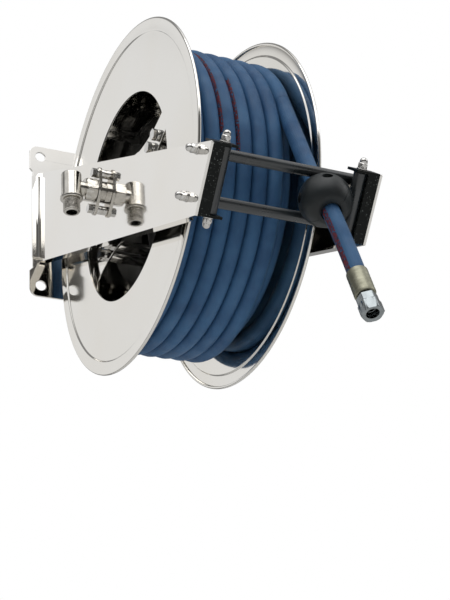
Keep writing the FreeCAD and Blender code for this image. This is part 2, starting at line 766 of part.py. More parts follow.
def pawl():
    """Lever on its pin, resting just clear of the teeth; it tips down into a tooth gap."""
    x_low = ratchet_low
    back = pawl_pivot - pawl_tip_rest
    back.normalize()
    over = Vector(0, -back.z, back.y)
    if over.dot(pawl_tip_rest) < 0:
        over = over * -1.0
    tip = pawl_tip_rest
    nose_dir = polar(1.0, 65.0)
    corners = [tip, pawl_pivot - over * 8.0, pawl_pivot + over * 8.0, tip + back * 6.0 + over * 9.0,
               tip + nose_dir * 7.0]
    lever = plate_yz(x_low, x_low + pawl_gauge, [(c.y, c.z) for c in corners])
    hub = bar_x(x_low, x_low + pawl_gauge, 10.0, pawl_pivot.y, pawl_pivot.z)
    hole = bar_x(x_low - 1, x_low + pawl_gauge + 1, pawl_pin_dia / 2.0 + running_gap,
                 pawl_pivot.y, pawl_pivot.z)
    return lever.fuse(hub).cut(hole).removeSplitter()


def pawl_pin():
    """Shouldered pin through the spring arm, with a nut outside."""
    y, z = pawl_pivot.y, pawl_pivot.z
    pin = bar_x(ratchet_low - 2.2, arm_outer + 9.0, pawl_pin_dia / 2.0, y, z)
    head = bar_x(ratchet_low - 2.2, ratchet_low - 0.4, 7.0, y, z)
    collar = bar_x(arm_inner - 4.5, arm_inner, 7.0, y, z)
    nut = hexagon(Vector(arm_outer, y, z), Vector(1, 0, 0), 6.5, 13.0)
    return pin.fuse([head, collar, nut]).removeSplitter()


def pawl_spring():
    """Torsion coil round the pin; one leg lies over the pawl, the other against the arm."""
    y, z = pawl_pivot.y, pawl_pivot.z
    nodes = []
    for quarter in range(4 * pawl_spring_coils + 1):
        turn = 90.0 * quarter - 40.0
        p = polar(pawl_spring_radius, turn, pawl_spring_start + pawl_spring_pitch * quarter / 4.0)
        t = polar(1.0, turn + 90.0) + Vector(pawl_spring_pitch / (2 * math.pi * pawl_spring_radius), 0, 0)
        t.normalize()
        nodes.append((p + Vector(0, y, z), t))
    lead = nodes[0][0] - nodes[0][1] * 9.0
    trail = nodes[-1][0] + nodes[-1][1] * 9.0
    edges = [Part.LineSegment(lead, nodes[0][0]).toShape()]
    for (p0, t0), (p1, t1) in zip(nodes, nodes[1:]):
        edges += biarc(p0, t0, p1, t1)
    edges.append(Part.LineSegment(nodes[-1][0], trail).toShape())
    return swept(edges, lead, nodes[0][1], 0.6)


# Tube makers for the hose

def biarc(p0, t0, p1, t1):
    """Two tangent arcs from p0 along t0 to p1 along t1, as edges."""
    v = p1 - p0
    t = t0 + t1
    vt = v.dot(t)
    k = 2.0 * (1.0 - t0.dot(t1))
    d = (-vt + math.sqrt(vt * vt + k * v.dot(v))) / k
    middle = (p0 + t0 * d + p1 - t1 * d) * 0.5
    edges = []
    for a, corner, b in ((p0, p0 + t0 * d, middle), (middle, p1 - t1 * d, p1)):
        chord = b - a
        mid = (a + b) * 0.5
        rise = corner - mid
        half = chord.Length / 2.0
        alpha = math.atan2(rise.Length, half)
        top = mid + rise * (half * math.tan(alpha / 2.0) / rise.Length)
        edges.append(Part.Arc(a, top, b).toShape())
    return edges


def swept(edges, start, direction, radius):
    """A round tube along a chain of edges."""
    section = Part.Wire(Part.Circle(start, direction, radius).toShape())
    solid = Part.Wire(edges).makePipeShell([section], True, False)
    if solid.Volume < 0:
        solid.reverse()
    return solid


def route_edges(points, gain=0.45, note=""):
    """Straight runs joined by tangent arcs as large as the two runs allow."""
    edges = []
    last = points[0]
    radii = []
    for k in range(1, len(points) - 1):
        before = points[k] - points[k - 1]
        after = points[k + 1] - points[k]
        reach = gain * min(before.Length, after.Length)
        turn = before.getAngle(after)
        before.normalize()
        after.normalize()
        radii.append(reach / math.tan(turn / 2.0))
        a = points[k] - before * reach
        b = points[k] + after * reach
        mid = (a + b) * 0.5
        rise = points[k] - mid
        half = (b - a).Length / 2.0
        top = mid + rise * (half * math.tan(math.atan2(rise.Length, half) / 2.0) / rise.Length)
        edges.append(Part.LineSegment(last, a).toShape())
        edges.append(Part.Arc(a, top, b).toShape())
        last = b
    edges.append(Part.LineSegment(last, points[-1]).toShape())
    if note:
        print(note, "radii", [round(r) for r in radii])
    return edges


# Hose

outer_layer_radius = core_radius + fit_gap + (inner_layers + 0.5) * hose_dia + fit_gap
pack_outer = outer_layer_radius - hose_dia / 2.0 - fit_gap
lane_last = disc_inner - hose_dia / 2.0 - 6.3
lane_first = lane_last - winding_turns * hose_pitch
lane_swing = 5.2                # the last turn swings out to the far flange before it leaves
lane_exit = 2.0                 # and leaves this much further out than the other turns lie
ball_depth = roller_depth - math.sqrt(
    (ball_dia / 2.0 + level_roller_dia / 2.0 + ball_play) ** 2 - roller_half_gap ** 2)
ball_centre_x = upright_axis_x - math.sqrt(
    (ball_dia / 2.0 + upright_roller_dia / 2.0 + ball_play) ** 2 - (upright_depth - ball_depth) ** 2)
ball_centre = guide_point(ball_centre_x, 0.0, ball_depth)


def leaning(degrees, sideways=0.0):
    """Unit direction that far below level, towards the front."""
    a = math.radians(degrees)
    d = Vector(sideways, -math.cos(a), -math.sin(a))
    d.normalize()
    return d


ball_axis = leaning(ball_tilt, ball_lead)
guide_entry = ball_centre - ball_axis * entry_back - edge_up * entry_drop


def leaving_point():
    """Where the hose leaves the winding on a line that touches it, towards the guide."""
    distance = math.hypot(guide_entry.y, guide_entry.z)
    towards = math.atan2(guide_entry.z, guide_entry.y) % (2 * math.pi)
    a = math.degrees(towards - math.acos(outer_layer_radius / distance))
    return a, polar(outer_layer_radius, a, lane_last + lane_exit)


leaving_angle, leaving = leaving_point()
leaving_direction = guide_entry - leaving
leaving_direction.normalize()


def lane(turns):
    """Place along the drum after so many turns: level at the front, stepping over behind."""
    if turns <= 0:
        return lane_first
    whole = math.floor(turns + 1e-9)
    part = turns - whole
    x = lane_first + hose_pitch * (whole + 0.5 - 0.5 * math.cos(math.pi * part))
    last_half = turns - winding_turns + 0.5
    if last_half > 0:
        x = x + lane_swing * math.sin(2 * math.pi * last_half) ** 2
        x = x + lane_exit * math.sin(math.pi * last_half) ** 2
    return x


def winding_node(quarter):
    """Point and direction of the winding a quarter turn at a time; -1 is down in the layer below."""
    turns = quarter / 4.0
    radius = outer_layer_radius - (hose_dia * 0.9 if quarter < 0 else 0.0)
    angle = leaving_angle + 90.0 * quarter
    point = polar(radius, angle, lane(turns))
    drift = (lane(turns + 0.01) - lane(turns - 0.01)) / (0.02 * 2 * math.pi * radius)
    if quarter in (-1, 0):
        drift = 0.0
    around = polar(1.0, angle + 90.0) + Vector(drift, 0, 0)
    around.normalize()
    return point, around


def winding_edges(first, last):
    nodes = [winding_node(q) for q in range(first, last + 1)]
    nodes[-1] = (nodes[-1][0], leaving_direction) if last == 4 * winding_turns else nodes[-1]
    edges = []
    for (p0, t0), (p1, t1) in zip(nodes, nodes[1:]):
        edges += biarc(p0, t0, p1, t1)
    return nodes, edges


def hose_winding():
    """Outer layer: one unbroken tube, coming up out of the layer below at the inlet flange."""
    nodes, edges = winding_edges(-1, 4 * winding_turns)
    start = nodes[0][0] - nodes[0][1] * end_straight
    finish = nodes[-1][0] + nodes[-1][1] * end_straight
    path = [Part.LineSegment(start, nodes[0][0]).toShape()] + edges
    path.append(Part.LineSegment(nodes[-1][0], finish).toShape())
    report_spacing(edges)
    solid = swept(path, start, nodes[0][1], hose_dia / 2.0)
    length = sum(e.Length for e in path)
    print("winding length mm", round(length), "volume share",
          round(solid.Volume / (math.pi * hose_dia ** 2 / 4.0 * length), 4))
    return solid


def report_spacing(edges):
    """Least gap of the winding to itself, on points along it."""
    points = []
    travelled = 0.0
    for e in edges:
        for k, p in enumerate(e.discretize(13)[:-1]):
            points.append((travelled + e.Length * k / 12.0, p))
        travelled += e.Length
    least = 1e9
    for i, (s, p) in enumerate(points):
        for s2, q in points[i + 1:]:
            if s2 - s > 4 * hose_dia:
                least = min(least, p.distanceToPoint(q))
    print("winding least gap mm", round(least - hose_dia, 2))


def hose_pack():
    """Plain body of the inner layers, with the groove where the hose comes up."""
    body = pipe_x(-disc_inner + fit_gap, disc_inner - fit_gap, pack_outer, core_radius + fit_gap)
    nodes, edges = winding_edges(-1, 0)
    start = nodes[0][0] - nodes[0][1] * end_straight
    path = [Part.LineSegment(start, nodes[0][0]).toShape()] + edges
    return body.cut(swept(path, start, nodes[0][1], hose_dia / 2.0 + fit_gap))


end_axis = leaning(69.0)         # the hose's free end and its fittings


def run_points():
    """Route of the free hose: tight to the guide, through the ball, and down to the fitting."""
    start = leaving + leaving_direction * (end_straight + fit_gap)
    below_ball = ball_centre + ball_axis * exit_ahead
    end = below_ball + end_axis * free_length
    return [start, guide_entry, below_ball, end]


def hose_run():
    points = run_points()
    edges = route_edges(points, note="hose run")
    solid = swept(edges, points[0], points[1] - points[0], hose_dia / 2.0)
    length = sum(e.Length for e in edges)
    print("hose run length mm", round(length), "volume share",
          round(solid.Volume / (math.pi * hose_dia ** 2 / 4.0 * length), 4))
    return solid


# Ball stop

def ball_directions():
    """Across the seam (screw direction) and along the seam, both square to the hose."""
    up = edge_up - ball_axis * edge_up.dot(ball_axis)
    up.normalize()
    side = ball_axis.cross(up)
    swing = math.radians(ball_turn)
    across = up * math.cos(swing) + side * math.sin(swing)
    along = ball_axis.cross(across)
    return across, along


def ball_blank():
    """Rubber ball, flat at both poles, with a dished mouth round the hose."""
    sphere = Part.makeSphere(ball_dia / 2.0, ball_centre)
    slab = bar(ball_centre - ball_axis * (ball_length / 2.0), ball_axis, ball_length, ball_dia)
    shape = sphere.common(slab)
    for way in (-1, 1):
        mouth = ball_centre + ball_axis * (way * ball_length / 2.0)
        dish = Part.makeCone(hose_dia / 2.0 + ball_mouth, hose_dia / 2.0 + ball_bore_ease, ball_dish, mouth,
                             ball_axis * -way)
        shape = shape.cut(dish)
    shape = shape.cut(bar(ball_centre - ball_axis * ball_length, ball_axis, 2 * ball_length,
                          hose_dia / 2.0 + ball_bore_ease))
    across, along = ball_directions()
    for way in (-1, 1):
        base = ball_centre + along * (way * screw_offset)
        shape = shape.cut(bar(base - across * 40.0, across, 80.0, screw_dia / 2.0 + running_gap))
        shape = shape.cut(bar(base + across * 12.0, across, 30.0, screw_head_dia / 2.0 + 0.5))
        shape = shape.cut(bar(base - across * 12.0, across * -1.0, 30.0, screw_head_dia / 2.0 + 0.5))
    return shape


def ball_half(way):
    across, along = ball_directions()
    size = ball_dia * 1.2
    corner = ball_centre + across * (way * ball_seam / 2.0)
    face_points = [corner + along * (a * size) + ball_axis * (b * size)
                   for a, b in ((-1, -1), (1, -1), (1, 1), (-1, 1))]
    keep = Part.Face(closed_wire(face_points)).extrude(across * (way * size))
    return ball_blank().common(keep)


def ball_screws():
    across, along = ball_directions()
    solids = []
    for way in (-1, 1):
        base = ball_centre + along * (way * screw_offset)
        shank = bar(base - across * 16.0, across, 29.0, screw_dia / 2.0)
        head = bar(base + across * 12.0, across, 5.0, screw_head_dia / 2.0)
        head = head.cut(hexagon(base + across * 14.5, across, 3.0, 4.0))
        nut = hexagon(base - across * 12.0, across * -1.0, 4.0, 7.0)
        solids.append(shank.fuse([head, nut]).removeSplitter())
    return Part.makeCompound(solids)


# Hose end

end_start = run_points()[-1] + end_axis * fit_gap


def hose_ferrule():
    """Pressed sleeve on the hose end, with a rounded mouth."""
    body = bar(end_start, end_axis, ferrule_length, ferrule_dia / 2.0)
    mouth = [e for e in body.Edges if abs((e.CenterOfMass - end_start).dot(end_axis)) < 0.01]
    body = body.makeFillet(1.2, mouth[:1])
    return body.cut(bar(end_start + end_axis * (ferrule_length - 2.0), end_axis, 5.0, 7.2))


def end_tail():
    """Nipple: groove, hexagon, and the cone that seats inside the nut."""
    start = ferrule_length - 2.0 + fit_gap
    base = end_start + end_axis * start
    neck = bar(base, end_axis, 6.0, 6.9)
    collar = hexagon(end_start + end_axis * (ferrule_length + tail_groove), end_axis, tail_length, tail_af)
    shank = bar(base, end_axis, nut_start_offset() + end_nut_wall + 0.5 - start, tail_neck_dia / 2.0)
    nose = bar(base, end_axis, nut_start_offset() + end_nut_wall + end_nut_relief - fit_gap - start,
               tail_nose_dia / 2.0)
    cone_at = end_start + end_axis * (nut_start_offset() + end_nut_wall + 0.4)
    cone = Part.makeCone(tail_neck_dia / 2.0 + 0.7, tail_nose_dia / 2.0, 2.6, cone_at, end_axis)
    shape = neck.fuse([collar, shank, nose, cone])
    return shape.cut(bar(base - end_axis, end_axis, 2 * ferrule_length, tail_bore / 2.0)).removeSplitter()


def nut_start_offset():
    return ferrule_length + tail_groove + tail_length + 0.4


def end_nut():
    """Swivel nut, free to turn on the nipple."""
    base = end_start + end_axis * nut_start_offset()
    inside = base + end_axis * end_nut_wall
    body = hexagon(base, end_axis, end_nut_length, end_nut_af)
    body = body.cut(bar(base - end_axis, end_axis, end_nut_wall + 2.0, tail_neck_dia / 2.0 + running_gap))
    body = body.cut(bar(inside, end_axis, end_nut_relief, end_nut_bore / 2.0 + 0.5))
    return body.cut(bar(inside, end_axis, end_nut_length, end_nut_bore / 2.0))


# Guide

def guide_bracket(side):
    """Folded bracket inside the arm's front: web, front flange, and a tab above and below."""
    half = front_edge_length / 2.0
    low_x = min(side * arm_inner, side * (arm_inner - guide_gauge))
    corners = [guide_point(low_x, -half, 0.0), guide_point(low_x, half, 0.0),
               guide_point(low_x, half - guide_depth * arm_edge_fall(), guide_depth),
               guide_point(low_x, -half, guide_depth)]
    web = Part.Face(closed_wire(corners)).extrude(Vector(guide_gauge, 0, 0))
    front = guide_box(min(side * arm_inner, side * (arm_inner - guide_front_flange)),
                      max(side * arm_inner, side * (arm_inner - guide_front_flange)),
                      -half, half, 0.0, guide_gauge)
    solids = [front]
    for low, high in ((-half, -half + guide_gauge), (half - guide_gauge, half)):
        solids.append(guide_box(min(side * arm_inner, side * (arm_inner - guide_tab_reach)),
                                max(side * arm_inner, side * (arm_inner - guide_tab_reach)),
                                low, high, 0.0, guide_tab_depth))
    shape = web.fuse(solids).removeSplitter()
    for up in (-roller_half_gap, roller_half_gap):
        shape = shape.cut(bar(guide_point(side * arm_inner - 8, up, roller_depth), Vector(1, 0, 0), 16,
                              axle_dia / 2.0 + running_gap))
    return shape.cut(bar(guide_point(side * upright_axis_x, -half - 2, upright_depth), edge_up,
                         front_edge_length + 4, axle_dia / 2.0 + running_gap))


def level_roller(up):
    length = 2.0 * (arm_inner - guide_gauge - 0.5)
    return pipe(guide_point(-length / 2.0, up, roller_depth), Vector(1, 0, 0), length,
                level_roller_dia / 2.0, axle_dia / 2.0 + running_gap)


def upright_roller(side):
    half = front_edge_length / 2.0 - guide_gauge - 0.5
    return pipe(guide_point(side * upright_axis_x, -half, upright_depth), edge_up, 2 * half,
                upright_roller_dia / 2.0, axle_dia / 2.0 + running_gap)


def level_axles():
    reach = arm_outer + washer_thick + axle_in_nut
    return Part.makeCompound([bar(guide_point(-reach, up, roller_depth), Vector(1, 0, 0),
                                  2 * reach, axle_dia / 2.0)
                              for up in (-roller_half_gap, roller_half_gap)])


def upright_axles():
    reach = front_edge_length / 2.0 + washer_thick + axle_in_nut
    return Part.makeCompound([bar(guide_point(side * upright_axis_x, -reach, upright_depth),
                                  edge_up, 2 * reach,
                                  axle_dia / 2.0) for side in (-1, 1)])


def axle_ends():
    """Seat and outward direction of each cap nut."""
    seats = []
    for side in (-1, 1):
        for up in (-roller_half_gap, roller_half_gap):
            seats.append((guide_point(side * arm_outer, up, roller_depth), Vector(side, 0, 0)))
        for way in (-1, 1):
            seats.append((guide_point(side * upright_axis_x, way * front_edge_length / 2.0, upright_depth),
                          edge_up * way))
    return seats


def guide_washers():
    return Part.makeCompound([pipe(seat, way, washer_thick, washer_dia / 2.0, axle_dia / 2.0 + running_gap)
                              for seat, way in axle_ends()])


def cap_nuts():
    """Domed nuts on the ends of the roller axles."""
    solids = []
    dome = nut_af / 2.0 - 0.6
    for seat, way in axle_ends():
        base = seat + way * washer_thick
        nut = hexagon(base, way, nut_height, nut_af)
        neck = bar(base, way, nut_total - dome, dome)
        cap = Part.makeSphere(dome, base + way * (nut_total - dome))
        blind = bar(base - way, way, axle_in_nut + 1.5, axle_dia / 2.0 + running_gap)
        solids.append(nut.fuse([neck, cap]).cut(blind).removeSplitter())
    return Part.makeCompound(solids)


nodes = {
    "wall_plate": wall_plate, "inlet_arm": inlet_arm, "spring_arm": spring_arm,
    "left_guide_bracket": lambda: guide_bracket(-1), "right_guide_bracket": lambda: guide_bracket(1),
    "upper_roller": lambda: level_roller(roller_half_gap),
    "lower_roller": lambda: level_roller(-roller_half_gap),
    "left_roller": lambda: upright_roller(-1), "right_roller": lambda: upright_roller(1),
    "level_axles": level_axles, "upright_axles": upright_axles,
    "guide_washers": guide_washers, "cap_nuts": cap_nuts,
    "swivel_housing": swivel_housing, "housing_screws": housing_screws, "swivel_bush": swivel_bush,
    "swivel_seals": swivel_seals, "union_nut": union_nut, "inlet_elbow": inlet_elbow,
    "near_flange": lambda: flange(-1), "far_flange": lambda: flange(1), "drum_core": drum_core,
    "near_hub_plate": near_hub_plate, "spacer_studs": spacer_studs, "swivel_stem": swivel_stem,
    "feed_elbow": feed_elbow, "feed_pipe": feed_pipe, "hose_tail": hose_tail,
    "far_hub_plate": far_hub_plate, "hub_tube": hub_tube, "case_screws": case_screws,
    "shaft_bush": shaft_bush,
    "spring_case": spring_case, "spring_cover": spring_cover, "power_spring": power_spring,
    "spring_arbor": spring_arbor, "spring_shaft": spring_shaft, "shaft_nut": shaft_nut,
    "ratchet_wheel": ratchet_wheel, "pawl": pawl, "pawl_pin": pawl_pin, "pawl_spring": pawl_spring,
    "hose_pack": hose_pack, "hose_winding": hose_winding, "hose_run": hose_run,
    "ball_upper_half": lambda: ball_half(1), "ball_lower_half": lambda: ball_half(-1),
    "ball_screws": ball_screws, "hose_ferrule": hose_ferrule, "end_tail": end_tail, "end_nut": end_nut,
}

os.makedirs("parts", exist_ok=True)
for name, make in nodes.items():
    solid = make()
    solid.translate(Vector(0, -axis_standoff, -axis_drop))
    solid.exportStep(os.path.join("parts", name + ".step"))
    if not solid.isValid() or not solid.Solids:
        print("check", name, solid.isValid(), len(solid.Solids))
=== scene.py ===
"""Looks of a wall-mounted spring rewind hose reel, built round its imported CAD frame.

Metres throughout. X runs along the drum axis with the water inlet at -X, +Y points into the
wall and +Z up. The origin is the centre of the wall holes on the back of the wall plate.
"""
import json
import math

import bmesh
import bpy
import numpy as np
from mathutils import Matrix, Vector


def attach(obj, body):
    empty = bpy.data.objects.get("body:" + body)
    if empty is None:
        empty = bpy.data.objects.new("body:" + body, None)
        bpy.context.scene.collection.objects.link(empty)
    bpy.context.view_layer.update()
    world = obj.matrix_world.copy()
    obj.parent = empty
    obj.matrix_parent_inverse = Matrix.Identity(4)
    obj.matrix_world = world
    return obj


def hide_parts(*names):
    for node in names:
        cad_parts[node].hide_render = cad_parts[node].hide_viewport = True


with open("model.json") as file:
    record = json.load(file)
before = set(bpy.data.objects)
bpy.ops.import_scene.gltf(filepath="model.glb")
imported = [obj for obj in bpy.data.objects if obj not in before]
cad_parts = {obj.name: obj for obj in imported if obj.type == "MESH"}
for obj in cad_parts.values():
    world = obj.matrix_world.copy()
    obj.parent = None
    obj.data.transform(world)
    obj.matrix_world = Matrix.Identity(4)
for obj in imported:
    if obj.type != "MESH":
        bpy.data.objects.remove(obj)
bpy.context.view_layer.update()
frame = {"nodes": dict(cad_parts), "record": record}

# Camera: below and in front of the reel, on the inlet side. Its place and turn were fitted to
# the rims, the arms and the wall plate.
camera = bpy.data.objects.new("camera", bpy.data.cameras.new("camera"))
bpy.context.collection.objects.link(camera)
bpy.context.scene.camera = camera
look_right = Vector((0.8996, -0.4328, -0.0578))
look_up = Vector((-0.1349, -0.4013, 0.9060))
look_back = Vector((-0.4153, -0.8072, -0.4194))
camera.matrix_world = Matrix.Translation((-0.68107, -1.68280, -0.95533)) @ Matrix(
    (look_right, look_up, look_back)).transposed().to_4x4()
camera.data.lens = 85.14
camera.data.clip_start = 0.05

# The free hose: from the last turn, tight to the guide, through the ball, down to its fitting.
# It is the same wrapped rubber hose as on the drum, 20 mm across, and ends in a pressed ferrule.
hose_radius = 0.010
crease_angle = math.radians(38)
run_route = [(0.05925, -0.42657, -0.02655), (0.05228, -0.47581, -0.12862), (0.04842, -0.50307, -0.18514),
             (0.0434, -0.53981, -0.23591), (0.0434, -0.57422, -0.32553)]


def spline_points(name, route, resolution=24):
    """Points along the smooth line that a route's control points draw, as numpy rows."""
    curve = bpy.data.curves.new(name, "CURVE")
    curve.dimensions = "3D"
    curve.resolution_u = resolution
    spline = curve.splines.new("NURBS")
    spline.points.add(len(route) - 1)
    spline.points.foreach_set("co", np.c_[route, np.ones(len(route))].ravel())
    spline.order_u = 3
    spline.use_endpoint_u = True
    line = bpy.data.objects.new(name, curve)
    mesh = bpy.data.meshes.new_from_object(line)
    points = np.empty(len(mesh.vertices) * 3)
    mesh.vertices.foreach_get("co", points)
    bpy.data.objects.remove(line)
    bpy.data.meshes.remove(mesh)
    return points.reshape(-1, 3)


def surface(name, grid, closed=(False, False), lengths=None):
    """Mesh over a grid of points [i, j]; closed says which way joins up on itself.

    lengths gives the UV of each grid line. Points that meet, as at a pole, are made one, and
    the faces are turned outwards.
    """
    rows, cols = grid.shape[:2]
    i, j = np.meshgrid(np.arange(rows - (not closed[0])), np.arange(cols - (not closed[1])), indexing="ij")
    i, j = i.ravel(), j.ravel()
    steps = ((0, 0), (1, 0), (1, 1), (0, 1))
    corners = np.stack([(i + a) % rows * cols + (j + b) % cols for a, b in steps], -1)
    mesh = bpy.data.meshes.new(name)
    mesh.vertices.add(rows * cols)
    mesh.vertices.foreach_set("co", grid.astype(np.float32).ravel())
    mesh.loops.add(corners.size)
    mesh.loops.foreach_set("vertex_index", corners.astype(np.int32).ravel())
    mesh.polygons.add(len(corners))
    mesh.polygons.foreach_set("loop_start", np.arange(0, corners.size, 4, dtype=np.int32))
    if lengths is not None:
        layer = mesh.uv_layers.new(name="along")
        uv = np.stack([np.stack([lengths[0][i + a], lengths[1][j + b]], -1) for a, b in steps], 1)
        layer.data.foreach_set("uv", uv.astype(np.float32).ravel())
    mesh.update()
    work = bmesh.new()
    work.from_mesh(mesh)
    bmesh.ops.remove_doubles(work, verts=work.verts, dist=1e-6)
    bmesh.ops.recalc_face_normals(work, faces=work.faces)
    work.to_mesh(mesh)
    work.free()
    mesh.shade_smooth()
    mesh.set_sharp_from_angle(angle=crease_angle)
    piece = bpy.data.objects.new(name, mesh)
    bpy.context.collection.objects.link(piece)
    return piece


def tube(name, line, radius, around=28, on_drum=False):
    """Round tube on a line of points: line + radius (side cos a + up sin a), its ends closed.

    side is the drum axis made square to the line, so the same side of the hose faces the same
    way along its whole length. The UV is the share of the way round and the length in metres,
    which is nought where the hose leaves the drum.
    """
    along = np.gradient(line, axis=0)
    along /= np.linalg.norm(along, axis=1, keepdims=True)
    side = np.array([1.0, 0, 0]) - along * along[:, :1]
    side /= np.linalg.norm(side, axis=1, keepdims=True)
    up = np.cross(along, side)
    a = np.linspace(0, 2 * np.pi, around, endpoint=False)[:, None, None]
    grid = line + radius * (side * np.cos(a) + up * np.sin(a))
    grid = np.concatenate([np.broadcast_to(line[:1], (around, 1, 3)), grid,
                           np.broadcast_to(line[-1:], (around, 1, 3))], 1)
    length = np.r_[0, np.cumsum(np.linalg.norm(np.diff(line, axis=0), axis=1))]
    length = np.r_[length[0], length, length[-1]] - on_drum * length[-1]
    return surface(name, grid, (True, False), (np.linspace(0, 1, around + 1), length))


def place(piece, body, slot, *nodes):
    """The piece moves with the body and stands for the nodes; slot is not used."""
    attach(piece, body)
    if nodes:
        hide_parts(*nodes)
    return piece


def material(name, colour, rough, metal=0.0, **sockets):
    """A material with its constant sockets set; returns it with its tree and shader."""
    made = bpy.data.materials.new(name)
    made.use_nodes = True
    shader = made.node_tree.nodes["Principled BSDF"]
    shader.inputs["Base Color"].default_value = (*colour, 1)
    shader.inputs["Roughness"].default_value = rough
    shader.inputs["Metallic"].default_value = metal
    for socket, value in sockets.items():
        shader.inputs[socket.replace("_", " ")].default_value = value
    return made, made.node_tree, shader


def shader_group(name, inputs, outputs):
    """An empty node group with named number, vector and colour sockets."""
    kinds = {"value": "NodeSocketFloat", "vector": "NodeSocketVector", "colour": "NodeSocketColor"}
    group = bpy.data.node_groups.new(name, "ShaderNodeTree")
    for way, sockets in (("INPUT", inputs), ("OUTPUT", outputs)):
        for label, kind in sockets.items():
            group.interface.new_socket(label, in_out=way, socket_type=kinds[kind])
    return group, group.nodes.new("NodeGroupInput").outputs, group.nodes.new("NodeGroupOutput").inputs


def patches_group():
    """Soft irregular patches: noise at a scale, spread between two values."""
    group, inputs, outputs = shader_group(
        "patches", {"Vector": "vector", "Scale": "value", "Detail": "value", "From": "value", "To": "value"},
        {"Value": "value"})
    noise = group.nodes.new("ShaderNodeTexNoise")
    spread = group.nodes.new("ShaderNodeMapRange")
    spread.inputs["From Min"].default_value = 0.35
    spread.inputs["From Max"].default_value = 0.65
    for a, b in (("Vector", noise.inputs["Vector"]), ("Scale", noise.inputs["Scale"]),
                 ("Detail", noise.inputs["Detail"]), ("From", spread.inputs["To Min"]),
                 ("To", spread.inputs["To Max"])):
        group.links.new(inputs[a], b)
    group.links.new(noise.outputs["Fac"], spread.inputs["Value"])
    group.links.new(spread.outputs["Result"], outputs["Value"])
    return group


patches = patches_group()


def patch(tree, vector, scale, low, high, detail=3.0):
    """One use of the patches group on a vector; returns its value socket."""
    node = tree.nodes.new("ShaderNodeGroup")
    node.node_tree = patches
    node.inputs["Scale"].default_value = scale
    node.inputs["Detail"].default_value = detail
    node.inputs["From"].default_value = low
    node.inputs["To"].default_value = high
    tree.links.new(vector, node.inputs["Vector"])
    return node.outputs["Value"]


def object_place(tree):
    """Place on the piece in metres, which moves with it."""
    return tree.nodes.new("ShaderNodeTexCoord").outputs["Object"]


def blend(tree, share, low, high):
    """Colour between two colours or sockets by a share."""
    mix = tree.nodes.new("ShaderNodeMix")
    mix.data_type = "RGBA"
    tree.links.new(share, mix.inputs["Factor"])
    for socket, colour in ((mix.inputs[6], low), (mix.inputs[7], high)):
        if isinstance(colour, tuple):
            socket.default_value = (*colour, 1)
        else:
            tree.links.new(colour, socket)
    return mix.outputs[2]


def bump(tree, shader, height, depth, strength=1.0):
    """Relief of a given depth, in metres, from a height between 0 and 1."""
    node = tree.nodes.new("ShaderNodeBump")
    node.inputs["Distance"].default_value = depth
    node.inputs["Strength"].default_value = strength
    tree.links.new(height, node.inputs["Height"])
    tree.links.new(node.outputs["Normal"], shader.inputs["Normal"])


def maths(tree, operation, a, b=None, c=None):
    """A maths node on numbers or sockets; returns its result."""
    node = tree.nodes.new("ShaderNodeMath")
    node.operation = operation
    for socket, value in zip(node.inputs, (a, b, c)):
        if value is None:
            continue
        if isinstance(value, (int, float)):
            socket.default_value = value
        else:
            tree.links.new(value, socket)
    return node.outputs[0]


